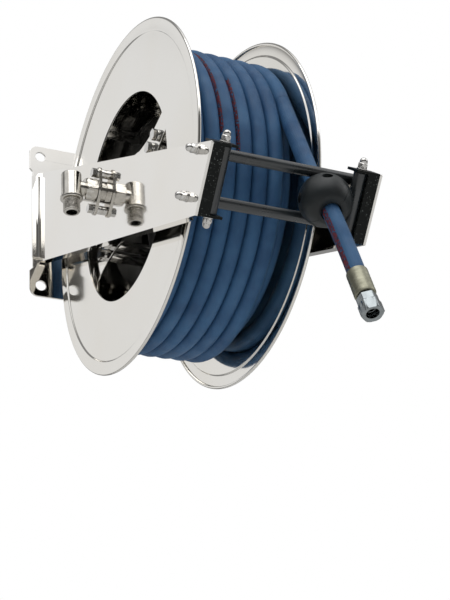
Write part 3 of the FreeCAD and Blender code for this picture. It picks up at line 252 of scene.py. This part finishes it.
def hose_rubber():
    """Blue wrapped cover: cloth imprint from the wrapping, pale bloom, and a printed stripe.

    Along the UV, u goes once round and v is metres. The stripe shows below the ball and on two
    stretches of the drum's turns, as a dark band with red ink that noise breaks up.
    """
    deep_blue, bloom_blue = (0.030, 0.090, 0.200), (0.052, 0.142, 0.285)
    band_black, ink_red = (0.022, 0.018, 0.026), (0.170, 0.030, 0.042)
    stripe_on_drum, stripe_turns_by, stripe_half = 0.445, 0.055, 0.065
    below_ball = (0.31, 0.075)
    on_lanes = ((-4.72, 0.15), (-3.44, 0.06))
    threads_per_metre, threads_round = 7000.0, 12.0
    made, tree, shader = material("hose_rubber", deep_blue, 0.55, Specular_IOR_Level=0.25)
    uv = tree.nodes.new("ShaderNodeTexCoord").outputs["UV"]
    parts = tree.nodes.new("ShaderNodeSeparateXYZ")
    tree.links.new(uv, parts.inputs[0])
    u, v = parts.outputs[0], parts.outputs[1]
    angle = maths(tree, "MULTIPLY", u, 2 * math.pi)
    ring = tree.nodes.new("ShaderNodeCombineXYZ")
    tree.links.new(maths(tree, "MULTIPLY", maths(tree, "COSINE", angle), hose_radius), ring.inputs[0])
    tree.links.new(maths(tree, "MULTIPLY", maths(tree, "SINE", angle), hose_radius), ring.inputs[1])
    tree.links.new(v, ring.inputs[2])
    on_hose = ring.outputs[0]
    bloom = patch(tree, on_hose, 22.0, 0.0, 1.0)
    colour = blend(tree, bloom, deep_blue, bloom_blue)
    off_drum = maths(tree, "GREATER_THAN", v, 0.0)
    middle_u = maths(tree, "MULTIPLY_ADD", off_drum, stripe_turns_by, stripe_on_drum)
    inside = maths(tree, "COMPARE", u, middle_u, stripe_half)
    inked = maths(tree, "COMPARE", v, *below_ball)
    for middle, half in on_lanes:
        inked = maths(tree, "ADD", inked, maths(tree, "COMPARE", v, middle, half))
    inside = maths(tree, "MULTIPLY", inside, inked)
    ink = patch(tree, on_hose, 420.0, 0.0, 1.0, 2.0)
    band = maths(tree, "MULTIPLY", inside, maths(tree, "GREATER_THAN", ink, 0.25))
    dots = maths(tree, "MULTIPLY", inside, maths(tree, "GREATER_THAN", ink, 0.52))
    colour = blend(tree, band, colour, band_black)
    colour = blend(tree, dots, colour, ink_red)
    tree.links.new(colour, shader.inputs["Base Color"])
    tree.links.new(patch(tree, on_hose, 60.0, 0.42, 0.62), shader.inputs["Roughness"])
    along = maths(tree, "MULTIPLY", v, threads_per_metre)
    across = maths(tree, "MULTIPLY", angle, threads_round)
    weft = maths(tree, "SINE", maths(tree, "ADD", along, across))
    warp = maths(tree, "SINE", maths(tree, "SUBTRACT", along, across))
    cloth = maths(tree, "MULTIPLY", weft, warp)
    bump(tree, shader, cloth, 0.00008, 0.6)
    return made


blue_hose = hose_rubber()
run_line = spline_points("run_line", run_route)
hose_free = tube("hose_free", run_line, hose_radius)
hose_free.data.materials.append(blue_hose)
place(hose_free, "frame", "hose_blue", "hose_run")

# Hose on the drum: one length wound in three layers between the flanges, every turn level
# across the front and stepping over by one hose behind. It climbs a layer at each flange.
drum_axis = np.array([0, -0.2515, -0.0885])
layer_radii = np.array([0.1442, 0.1644, 0.1846])
lane_near, lane_pitch, lane_count = -0.0645, 0.0205, 6
leaving_angle = math.radians(154.2493)
leaving_way = np.array([-0.0613990, -0.4336369, -0.8989935])
leaving_length = 0.0198
lane_swing, lane_exit = 0.0052, 0.0020


def lane_place(turn):
    """Where the hose lies along the drum: stairs of one pitch a turn, rounded by a cosine.

    The outer layer goes from the inlet flange to the spring flange, the one under it comes
    back, and the last turn swings out to the flange before it leaves.
    """
    stairs = np.floor(turn) + 0.5 - 0.5 * np.cos(np.pi * (turn - np.floor(turn)))
    return lane_near + lane_pitch * np.clip(stairs, 0, lane_count)


def wound_line(per_turn=112):
    """Centre line of the wound hose: radius steps up a layer in the last quarter turn before it."""
    turn = np.linspace(-2 * (lane_count + 1), lane_count, (3 * lane_count + 2) * per_turn + 1)
    layer = np.clip(np.floor(turn / (lane_count + 1)) + 2, 0, 2).astype(int)
    inner = np.where(layer == 1, -turn, turn + 2 * (lane_count + 1))
    x = lane_place(np.where(layer == 2, turn, inner))
    swing = np.clip(turn - lane_count + 0.5, 0, 0.5)
    x = x + lane_swing * np.sin(2 * np.pi * swing) ** 2 + lane_exit * np.sin(np.pi * swing) ** 2
    left = np.where(layer == 2, 1.0, np.where(layer == 1, -turn, -turn - lane_count - 1) * 4)
    rise = 0.5 + 0.5 * np.cos(np.pi * np.clip(left, 0, 1))
    radius = layer_radii[layer] + np.where(layer < 2, rise, 0) * (layer_radii[1] - layer_radii[0])
    a = leaving_angle + 2 * np.pi * turn
    line = drum_axis + np.stack([x, radius * np.cos(a), radius * np.sin(a)], -1)
    finish = line[-1] + leaving_way * np.linspace(0.002, leaving_length, 8)[:, None]
    return np.concatenate([line, finish])


hose_wound = tube("hose_wound", wound_line(), hose_radius, around=24, on_drum=True)
hose_wound.data.materials.append(blue_hose)
place(hose_wound, "drum", "hose_blue", "hose_pack", "hose_winding")

# Drum: two pressed flanges of polished stainless sheet welded to a rolled core.
# Each flange is a flat ring, stepped outwards near the rim, with its edge rolled to a bead.
flange_radius = 0.225
rim_plane = 0.0785
sheet = 0.0015
core_radius = 0.134
core_half = 0.0748
flange_flat = 0.0763
step_start, step_width, step_height = 0.2062, 0.0026, 0.0016
curve_start, curve_width = 0.2090, 0.0132
bead_radius = 0.0020


def eased(corners, radius, steps=4, open_ends=False):
    """Corners rounded off: each gives way to a parabola that begins and ends on its two sides."""
    p = np.asarray(corners, float)
    before, after = np.roll(p, 1, 0) - p, np.roll(p, -1, 0) - p
    near, far = np.linalg.norm(before, axis=1), np.linalg.norm(after, axis=1)
    reach = np.minimum(radius, 0.45 * np.minimum(near, far))
    if open_ends:
        reach[[0, -1]] = 0
    a = p + before * (reach / np.maximum(near, 1e-12))[:, None]
    b = p + after * (reach / np.maximum(far, 1e-12))[:, None]
    t = np.linspace(0, 1, steps)[:, None]
    curves = [(1 - t) ** 2 * a[k] + 2 * t * (1 - t) * p[k] + t ** 2 * b[k] for k in range(len(p))]
    if open_ends:
        curves[0], curves[-1] = p[:1], p[-1:]
    return np.concatenate(curves)


def square_to(way):
    """Two ways square to a way of length one and to each other."""
    side = np.cross(way, (0.31, 0.17, 0.93))
    side /= np.linalg.norm(side)
    return side, np.cross(way, side)


def turned(name, profile, start, way, count=96, hex_flats=None, open_ends=False):
    """Profile of (along, radius) carried round an axis: start + way along + radius (s cos a + t sin a).

    With hex_flats the radius is held inside a hexagon of that width, which leaves the profile's
    own taper as the chamfer on its corners.
    """
    way = np.array(way, float) / np.linalg.norm(way)
    side, up = square_to(way)
    profile = np.asarray(profile, float)
    a = np.arange(count) * 2 * np.pi / count
    radius = np.repeat(profile[:, 1][:, None], count, 1)
    if hex_flats:
        flat = hex_flats / 2 / np.cos((a + np.pi / 6) % (np.pi / 3) - np.pi / 6)
        radius = np.minimum(radius, np.minimum(flat, hex_flats / 2 * 1.135))
    around = side * np.cos(a)[:, None] + up * np.sin(a)[:, None]
    grid = np.asarray(start, float) + profile[:, 0][:, None, None] * way + radius[..., None] * around
    return surface(name, grid, (not open_ends, True))


def flange_profile(side):
    """Section of a flange: flat, a pressed step, a rim that curves outwards, and a round bead.

    The step rises as t t (3 - 2 t) over its width and the rim as the cube of its share.
    """
    r = np.r_[core_radius - sheet, core_radius + 0.003, 0.150, 0.180, np.linspace(0.2056, 0.2092, 10),
              np.linspace(0.2098, 0.2222, 14)]
    step = np.clip((r - step_start) / step_width, 0, 1)
    curve = np.clip((r - curve_start) / curve_width, 0, 1)
    outer = flange_flat + step_height * step ** 2 * (3 - 2 * step)
    outer += (rim_plane - flange_flat - step_height) * curve ** 3
    bead = np.linspace(0, 1.45 * np.pi, 18)
    bead_x = rim_plane - bead_radius + bead_radius * np.cos(bead)
    bead_r = flange_radius - bead_radius + bead_radius * np.sin(bead)
    x = np.r_[outer, bead_x, (outer - sheet)[::-1]]
    return np.stack([side * x, np.r_[r, bead_r, r[::-1]]], -1)


def polished_steel(name, colour, low, high):
    """Polished stainless sheet: faint wipe marks in its gloss and the fine grain of the polishing belt."""
    made, tree, shader = material(name, colour, low, metal=1.0)
    at = object_place(tree)
    tree.links.new(patch(tree, at, 14.0, low, high, 4.0), shader.inputs["Roughness"])
    tone = patch(tree, at, 6.0, 0.0, 1.0, 2.0)
    warm = tuple(c * f for c, f in zip(colour, (0.97, 0.955, 0.93)))
    tree.links.new(blend(tree, tone, colour, warm), shader.inputs["Base Color"])
    grain = patch(tree, at, 900.0, 0.0, 1.0, 2.0)
    bump(tree, shader, grain, 0.000004, 0.5)
    return made


drum_steel = polished_steel("drum_steel", (0.84, 0.825, 0.79), 0.05, 0.11)
for name, side in (("near_flange", -1), ("far_flange", 1)):
    ring = turned(name + "_pressed", flange_profile(side), drum_axis, (1, 0, 0), count=288)
    ring.data.materials.append(drum_steel)
    place(ring, "drum", "stainless_drum", name)


def drilled(piece, holes):
    """The piece with round holes taken out: (start, way, depth, radius) each."""
    for start, way, depth, radius in holes:
        profile = [(0, 0), (0, radius), (depth, radius), (depth, 0)]
        cutter = turned("cutter", profile, start, way, count=40, open_ends=True)
        cut = piece.modifiers.new("hole", "BOOLEAN")
        cut.operation = "DIFFERENCE"
        cut.solver = "EXACT"
        cut.object = cutter
        bpy.context.view_layer.update()
        shape = bpy.data.meshes.new_from_object(piece.evaluated_get(bpy.context.evaluated_depsgraph_get()))
        piece.modifiers.remove(cut)
        piece.data = shape
        bpy.data.objects.remove(cutter)
    piece.data.shade_smooth()
    piece.data.set_sharp_from_angle(angle=crease_angle)
    return piece


core_inside = core_radius - sheet
core = turned("core_rolled", eased([(-core_half, core_radius), (core_half, core_radius),
                                    (core_half, core_inside), (-core_half, core_inside)], 0.0003),
              drum_axis, (1, 0, 0), count=192)
feed_outward = np.array([0, -0.2588190, -0.9659258])
drilled(core, [(drum_axis + (-0.044, 0, 0) + feed_outward * 0.1225, feed_outward, 0.020, 0.0095)])
core.data.materials.append(drum_steel)
place(core, "drum", "stainless_drum", "drum_core")

# Ball stop: two moulded rubber halves screwed together on the hose, too big for the guide.
# The poles are cut flat and dished where the hose comes out.
ball_centre = np.array([0.04555, -0.52418, -0.214])
ball_way = np.array([-0.07974522, -0.57885358, -0.81152279])
ball_across = np.array([-0.82976732, -0.41259241, 0.37583734])
ball_along = np.array([-0.55238293, 0.70334632, -0.44741151])
ball_radius, ball_half_length, ball_bore = 0.030, 0.025, 0.0103
mouth_radius, mouth_depth = 0.0120, 0.0015
seam_gap = 0.0005


def black_rubber(name, colour, low, high, relief, gloss=0.4):
    """Moulded black rubber: a faint grain from the mould and greyer rubbed patches."""
    made, tree, shader = material(name, colour, low, Specular_IOR_Level=gloss)
    at = object_place(tree)
    tree.links.new(patch(tree, at, 45.0, low, high), shader.inputs["Roughness"])
    pale = tuple(c * 1.9 for c in colour)
    tree.links.new(blend(tree, patch(tree, at, 30.0, 0.0, 1.0), colour, pale), shader.inputs["Base Color"])
    bump(tree, shader, patch(tree, at, 1500.0, 0.0, 1.0, 2.0), relief, 0.6)
    return made


def ball_section():
    """Half section through the hose axis: bore, dished mouth, flat, round outside, and back."""
    flat_edge = math.sqrt(ball_radius ** 2 - ball_half_length ** 2)
    limit = math.acos(ball_half_length / ball_radius)
    a = np.linspace(limit, np.pi - limit, 40)
    skin = np.stack([ball_radius * np.cos(a), ball_radius * np.sin(a)], -1)
    inner = [(-ball_half_length, mouth_radius), (-ball_half_length + mouth_depth, ball_bore),
             (ball_half_length - mouth_depth, ball_bore), (ball_half_length, mouth_radius)]
    corners = np.concatenate([inner, [(ball_half_length, flat_edge)]])
    return np.concatenate([eased(corners, 0.0010, open_ends=True), skin[1:]])


def ball_half(name, way):
    """Section carried half a turn about the hose axis, its two seam faces closed by fans.

    The hose bends inside the ball, so the points of the bore and mouths move aside with it.
    """
    section = ball_section()
    run_from = run_line - ball_centre
    run_along = run_from @ ball_way
    aside = run_from - run_along[:, None] * ball_way
    bend = np.stack([np.interp(section[:, 0], run_along, aside[:, k]) for k in range(3)], -1)
    bend *= (section[:, 1:] < mouth_radius + 0.0005)
    a = np.linspace(0, np.pi, 65)
    side, up = ball_along * way, ball_across * way
    around = side * np.cos(a)[:, None] + up * np.sin(a)[:, None]
    centre = ball_centre + ball_across * (way * seam_gap / 2)
    grid = (centre + bend)[:, None] + section[:, 0][:, None, None] * ball_way
    grid = grid + section[:, 1][:, None, None] * around
    piece = surface(name, grid, (True, False))
    work = bmesh.new()
    work.from_mesh(piece.data)
    bmesh.ops.holes_fill(work, edges=[e for e in work.edges if e.is_boundary], sides=0)
    bmesh.ops.recalc_face_normals(work, faces=work.faces)
    work.to_mesh(piece.data)
    work.free()
    return piece


ball_skin = black_rubber("ball_skin", (0.007, 0.0095, 0.0105), 0.34, 0.5, 0.00003)
screw_offset, seat_height, seat_radius = 0.019, 0.012, 0.0048
for name, way in (("ball_upper_half", 1), ("ball_lower_half", -1)):
    half = ball_half(name + "_moulded", way)
    seats = [ball_centre + ball_along * (s * screw_offset) + ball_across * (way * seat_height)
             for s in (-1, 1)]
    drilled(half, [(seat, ball_across * way, ball_radius, seat_radius) for seat in seats])
    soft_edge = half.modifiers.new("edge", "BEVEL")
    soft_edge.width = 0.0005
    soft_edge.segments = 2
    soft_edge.angle_limit = math.radians(40)
    half.data.materials.append(ball_skin)
    place(half, "frame", "ball_rubber", name)

# Hose end: a yellow zinc ferrule pressed on the hose, the nipple's collar, and a zinc plated
# swivel nut that turns on the nipple, open at its end with the sealing cone inside. Each
# profile gives (along, radius) from the ferrule's mouth.
end_start = np.array([0.0434, -0.57432, -0.32581])
end_way = np.array([0.0, -0.35836795, -0.93358043])


def plated(name, colour, low, high):
    """Bright plating with cloudy gloss and small tone changes."""
    made, tree, shader = material(name, colour, low, metal=1.0)
    at = object_place(tree)
    tree.links.new(patch(tree, at, 120.0, low, high), shader.inputs["Roughness"])
    dull = tuple(c * 0.82 for c in colour)
    tree.links.new(blend(tree, patch(tree, at, 90.0, 0.0, 1.0), colour, dull), shader.inputs["Base Color"])
    bump(tree, shader, patch(tree, at, 700.0, 0.0, 1.0, 2.0), 0.00002, 0.4)
    return made


yellow_zinc = plated("yellow_zinc", (0.30, 0.295, 0.225), 0.36, 0.50)
blue_zinc = plated("blue_zinc", (0.33, 0.36, 0.37), 0.20, 0.32)
bright_plate = plated("bright_plate", (0.72, 0.71, 0.69), 0.10, 0.20)
nickel = plated("nickel", (0.66, 0.635, 0.59), 0.10, 0.20)


def ferrule_profile():
    """Pressed sleeve: rolled mouth, six shallow pressed bands, and a turned-in end."""
    z = np.linspace(0.0018, 0.0315, 90)
    bands = 0.00015 * (0.5 - 0.5 * np.cos(2 * np.pi * 5 * (z - 0.004) / 0.025)) * ((z > 0.004) & (z < 0.029))
    outside = np.stack([z, 0.0117 - bands], -1)
    return np.concatenate([[(0, 0.0101), (0, 0.0110), (0.0006, 0.0116)], outside,
                           [(0.0334, 0.0112), (0.034, 0.0104), (0.034, 0.0072), (0.030, 0.0070),
                            (0.001, 0.0070)]])


ferrule = turned("ferrule_pressed", ferrule_profile(), end_start, end_way)
ferrule.data.materials.append(yellow_zinc)
place(ferrule, "frame", "zinc_ferrule", "hose_ferrule")

nipple = turned("nipple", eased([(0.0323, 0.0044), (0.0323, 0.0069), (0.0365, 0.0069), (0.0365, 0.0116),
                                 (0.0455, 0.0116), (0.0455, 0.0060), (0.0493, 0.0060), (0.0493, 0.0067),
                                 (0.0519, 0.0052), (0.0522, 0.0052), (0.0522, 0.0044)], 0.0004),
                end_start, end_way, hex_flats=0.020)
nipple.data.materials.append(blue_zinc)
place(nipple, "frame", "end_steel", "end_tail")

swivel_nut = turned("swivel_nut", [(0.0459, 0.00605), (0.0459, 0.0110), (0.0468, 0.0131), (0.0590, 0.0131),
                                   (0.0599, 0.0114), (0.0599, 0.0082), (0.0591, 0.0071), (0.0525, 0.0071),
                                   (0.0525, 0.0076), (0.0489, 0.0076), (0.0489, 0.00605)],
                    end_start, end_way, hex_flats=0.022)
swivel_nut.data.materials.append(blue_zinc)
place(swivel_nut, "end_nut", "end_steel", "end_nut")

# Water inlet: a plated brass swivel held off the near arm by its bolts. A union nut joins its
# housing to a forged elbow, whose male thread points down for the supply hose.
inlet_x = -0.1462
inlet_bore = 0.0070
union = turned("union_nut_turned", [(-0.1298, 0.00905), (-0.1298, 0.0135), (-0.1286, 0.0160),
                                    (-0.1170, 0.0160), (-0.1158, 0.0140), (-0.1158, 0.01035),
                                    (-0.1245, 0.01035), (-0.1245, 0.00905)],
               drum_axis, (1, 0, 0), hex_flats=0.027)
union.data.materials.append(nickel)
place(union, "frame", "nickel_brass", "union_nut")


def threaded(name, start, way, length, crest, root, pitch, bore):
    """Outside thread: radius waves between root and crest with along / pitch less the share of a turn."""
    way = np.array(way, float)
    side, up = square_to(way)
    s = np.linspace(0, length, int(length / pitch * 12))[:, None]
    a = np.arange(72)[None, :] * 2 * np.pi / 72
    wave = np.abs((s / pitch - a / (2 * np.pi)) % 1 * 2 - 1)
    taper = np.clip(np.minimum(s, length - s) / pitch, 0, 1)
    radius = root + (crest - root) * np.clip(wave * 1.3 - 0.1, 0, 1) * taper
    around = side * np.cos(a)[..., None] + up * np.sin(a)[..., None]
    outside = np.asarray(start) + s[..., None] * way + radius[..., None] * around
    ends = [np.asarray(start) + k * way + bore * around for k in (length, 0)]
    return surface(name, np.concatenate([outside, *ends]), (True, True))


elbow_at = drum_axis + (inlet_x, 0, 0)
elbow = turned("elbow_forged", np.concatenate([
    [(0.018, 0)], eased([(0.018, 0), (0.018, 0.0125), (-0.014, 0.0125), (-0.014, 0.0140), (-0.0185, 0.0140),
                         (-0.0185, inlet_bore), (-0.0185, 0)], 0.0022, 6, True)[1:-1], [(-0.0185, 0)]]),
    elbow_at, (0, 0, 1), open_ends=True)
tail = turned("tail", [(0, 0), (0, 0.009), (0.0217, 0.009), (0.0217, 0.006), (0.016, 0.006), (0.016, 0)],
              elbow_at, (1, 0, 0), open_ends=True)
join = elbow.modifiers.new("tail", "BOOLEAN")
join.operation = "UNION"
join.solver = "EXACT"
join.object = tail
bpy.context.view_layer.update()
elbow.data = bpy.data.meshes.new_from_object(elbow.evaluated_get(bpy.context.evaluated_depsgraph_get()))
elbow.modifiers.clear()
bpy.data.objects.remove(tail)
drilled(elbow, [(elbow_at + (0, 0, -0.03), (0, 0, 1), 0.02, inlet_bore)])
elbow.data.materials.append(nickel)
place(elbow, "frame", "nickel_brass", "inlet_elbow")
thread_crest, thread_root, thread_pitch = 0.010478, 0.00932, 0.001814
inlet_thread = threaded("inlet_thread", elbow_at + (0, 0, -0.0183), (0, 0, -1), 0.0172, thread_crest,
                        thread_root, thread_pitch, inlet_bore)
inlet_thread.data.materials.append(nickel)
place(inlet_thread, "frame", "nickel_brass")

# Guide rollers: four satin black plastic sleeves on steel axles, two level and two upright,
# which keep the hose and stop the ball. The axles end in domed cap nuts on washers.
edge_up = np.array([0, -0.61648634, 0.7873656])
edge_in = np.array([0, 0.7873656, 0.61648634])
edge_middle = np.array([0, -0.52955, -0.2182])
arm_outer = 0.1042
level_up, level_depth = 0.026, 0.033
upright_x, upright_depth, upright_end = 0.0836, 0.012, 0.04015


def guide_point(x, up, depth):
    """Point of the guide: up along the front edge of the arms and depth behind it."""
    return np.array([x, 0, 0]) + edge_middle + edge_up * up + edge_in * depth


def roller(name, centre, way, length, radius):
    """Sleeve with eased ends and a bore, drawn round its middle."""
    half = length / 2
    return turned(name, eased([(-half, 0.00305), (-half, radius), (half, radius), (half, 0.00305)], 0.0007),
                  centre, way, count=64)


roller_plastic = black_rubber("roller_plastic", (0.009, 0.012, 0.014), 0.24, 0.36, 0.00001, 1.0)
for name, centre, way, length, radius in (
        ("upper_roller", guide_point(0, level_up, level_depth), (1, 0, 0), 0.1954, 0.0065),
        ("lower_roller", guide_point(0, -level_up, level_depth), (1, 0, 0), 0.1954, 0.0065),
        ("left_roller", guide_point(-upright_x, 0, upright_depth), edge_up, 0.0733, 0.0080),
        ("right_roller", guide_point(upright_x, 0, upright_depth), edge_up, 0.0733, 0.0080)):
    sleeve = roller(name + "_sleeve", centre, way, length, radius)
    sleeve.data.materials.append(roller_plastic)
    place(sleeve, name, "roller_black", name)


def cap_nut(name, seat, way):
    """Domed nut: hexagon with chamfered corners, a short neck and a round cap."""
    a = np.linspace(0, np.pi / 2, 14)
    dome = np.stack([0.0076 + 0.0044 * np.sin(a), 0.0044 * np.cos(a)], -1)
    base = [(0, 0.00305), (0, 0.0050), (0.0006, 0.0061), (0.0053, 0.0061), (0.0060, 0.0047), (0.0062, 0.0044)]
    profile = np.concatenate([base, dome, [(0.0080, 0), (0.0080, 0.00305)]])
    return turned(name, profile, seat, way, count=72, hex_flats=0.010)


def joined(name, pieces):
    """Several separate solids as one piece."""
    work = bmesh.new()
    for piece in pieces:
        work.from_mesh(piece.data)
        bpy.data.objects.remove(piece)
    mesh = bpy.data.meshes.new(name)
    work.to_mesh(mesh)
    work.free()
    mesh.shade_smooth()
    mesh.set_sharp_from_angle(angle=crease_angle)
    whole = bpy.data.objects.new(name, mesh)
    bpy.context.collection.objects.link(whole)
    return whole


washer_thick = 0.0016
axle_ends = [(guide_point(s * arm_outer, u, level_depth), np.array([s, 0, 0.0]))
             for s in (-1, 1) for u in (-level_up, level_up)]
axle_ends += [(guide_point(s * upright_x, w * upright_end, upright_depth), edge_up * w)
              for s in (-1, 1) for w in (-1, 1)]
caps = joined("cap_nuts_domed", [cap_nut("cap", seat + way * washer_thick, way) for seat, way in axle_ends])
caps.data.materials.append(bright_plate)
place(caps, "frame", "fastener_steel", "cap_nuts")

# Everything else keeps its CAD shape: folded sheet, turned shafts, screws and the works
# inside. Each has its sheet edges broken by a narrow bevel and gets its own finish.


def hammer_paint_and_glints():
    """Black hammer finish: rounded cells in the paint film, with painted glints: pale grey colour on some
    cells stands in for the light they catch.
    """
    paint_black, painted_glint_grey = (0.003, 0.0045, 0.004), (0.20, 0.22, 0.21)
    made, tree, shader = material("hammer_paint_and_glints", paint_black, 0.34, Specular_IOR_Level=0.18)
    at = object_place(tree)
    cells = tree.nodes.new("ShaderNodeTexVoronoi")
    cells.feature = "SMOOTH_F1"
    cells.inputs["Scale"].default_value = 620.0
    tree.links.new(at, cells.inputs["Vector"])
    # Painted glints: the pale grey on these cells stands in for highlights on the hammered paint.
    painted_glint = maths(tree, "MULTIPLY", maths(tree, "LESS_THAN", cells.outputs["Distance"], 0.20),
                  maths(tree, "GREATER_THAN", patch(tree, at, 260.0, 0.0, 1.0), 0.56))
    tree.links.new(blend(tree, painted_glint, paint_black, painted_glint_grey), shader.inputs["Base Color"])
    bump(tree, shader, cells.outputs["Distance"], 0.00022, 0.8)
    return made


frame_steel = polished_steel("frame_steel", (0.87, 0.855, 0.825), 0.035, 0.075)
works_steel = polished_steel("works_steel", (0.56, 0.55, 0.53), 0.28, 0.42)
dark_steel = polished_steel("dark_steel", (0.30, 0.30, 0.31), 0.30, 0.45)
bearing_bronze = plated("bearing_bronze", (0.55, 0.38, 0.19), 0.28, 0.42)
seal_black = black_rubber("seal_black", (0.015, 0.015, 0.015), 0.45, 0.6, 0.00001)
black_hammer_and_glints = hammer_paint_and_glints()
# The spring case is near black and rough, which keeps the inside of the drum dark through the windows.
case_near_black = black_rubber("case_near_black", (0.005, 0.006, 0.006), 0.5, 0.65, 0.00001)
finishes = {"stainless_frame": frame_steel, "stainless_drum": drum_steel, "hammer_black": black_hammer_and_glints,
            "roller_black": roller_plastic, "fastener_steel": bright_plate, "nickel_brass": nickel,
            "bronze": bearing_bronze, "seal_rubber": seal_black, "feed_tube": seal_black,
            "motor_case": case_near_black, "spring_steel": dark_steel, "shaft_steel": works_steel,
            "hose_blue": blue_hose,
            "ball_rubber": ball_skin, "zinc_ferrule": yellow_zinc, "end_steel": blue_zinc}
slots = {part["node"]: part["material_slot"] for part in frame["record"]["subparts"]}
for name, node in frame["nodes"].items():
    if node.hide_render:
        continue
    node.data.materials.clear()
    node.data.materials.append(finishes[slots[name]])
    weld = node.modifiers.new("weld", "WELD")
    weld.merge_threshold = 0.00001
    edge = node.modifiers.new("edge", "BEVEL")
    edge.width = 0.00035
    edge.segments = 2
    edge.limit_method = "ANGLE"
    edge.angle_limit = math.radians(50)
    edge.harden_normals = True

# Studio: a pale floor below the reel and a white backdrop. Round it stands a dim room with a
# wide light overhead in front and a white card behind, which the polished sheet mirrors.
floor_level, floor_half = -1.25, 6.0
floor = surface("floor", np.array([[(x, y, floor_level) for y in (-floor_half, floor_half)]
                                   for x in (-floor_half, floor_half)]))
floor_paint = material("floor_paint", (0.82, 0.82, 0.81), 0.8)
floor.data.materials.append(floor_paint[0])

world = bpy.data.worlds.new("surround")
bpy.context.scene.world = world
world.use_nodes = True
nodes, links = world.node_tree.nodes, world.node_tree.links
backdrop = nodes["Background"]
backdrop.inputs["Strength"].default_value = 1.0
way_seen = nodes.new("ShaderNodeTexCoord").outputs["Generated"]


def towards(way):
    """How far a direction points towards a way, from -1 to 1."""
    node = nodes.new("ShaderNodeVectorMath")
    node.operation = "DOT_PRODUCT"
    node.inputs[1].default_value = Vector(way).normalized()
    links.new(way_seen, node.inputs[0])
    return node.outputs["Value"]


def glow(value, low, high, dim, bright):
    """Brightness that eases from dim to bright as a direction's share goes from low to high."""
    ease = nodes.new("ShaderNodeMapRange")
    ease.interpolation_type = "SMOOTHSTEP"
    for label, number in (("From Min", low), ("From Max", high), ("To Min", dim), ("To Max", bright)):
        ease.inputs[label].default_value = number
    links.new(value, ease.inputs["Value"])
    return ease.outputs["Result"]


def largest(*values):
    """The largest of several values."""
    most = values[0]
    for value in values[1:]:
        most = maths(world.node_tree, "MAXIMUM", most, value)
    return most


# A white card behind, a light overhead that fades towards the wall, and dim walls all round.
card = glow(towards((-0.37, 0.86, 0.36)), 0.915, 0.975, 0.0, 0.82)
overhead = maths(world.node_tree, "MULTIPLY", glow(towards((0, 0, 1)), 0.455, 0.51, 0.0, 0.92),
                 glow(towards((0, -1, 0)), -0.35, -0.05, 0.25, 1.0))
room = largest(card, overhead, glow(towards((-0.30, 0.90, 0.30)), -0.15, 0.55, 0.10, 0.26))
seen = nodes.new("ShaderNodeMix")
seen.data_type = "RGBA"
seen.inputs[7].default_value = (1, 1, 1, 1)
links.new(nodes.new("ShaderNodeLightPath").outputs["Is Camera Ray"], seen.inputs["Factor"])
links.new(room, seen.inputs[6])
links.new(seen.outputs[2], backdrop.inputs["Color"])


def soft_lamp(name, at, aim, size, power):
    """Square lamp of a size in metres and a power in watts, turned towards its aim."""
    lamp = bpy.data.objects.new(name, bpy.data.lights.new(name, "AREA"))
    lamp.data.size = size
    lamp.data.energy = power
    lamp.location = at
    lamp.rotation_mode = "QUATERNION"
    lamp.rotation_quaternion = (Vector(aim) - Vector(at)).to_track_quat("-Z", "Y")
    bpy.context.collection.objects.link(lamp)


soft_lamp("key", (-0.6, -1.6, 2.0), (0, -0.3, -0.1), 2.4, 26)
soft_lamp("side", (1.9, -1.5, 0.9), (0, -0.3, -0.1), 1.4, 6)
bpy.context.scene.view_settings.view_transform = "Standard"
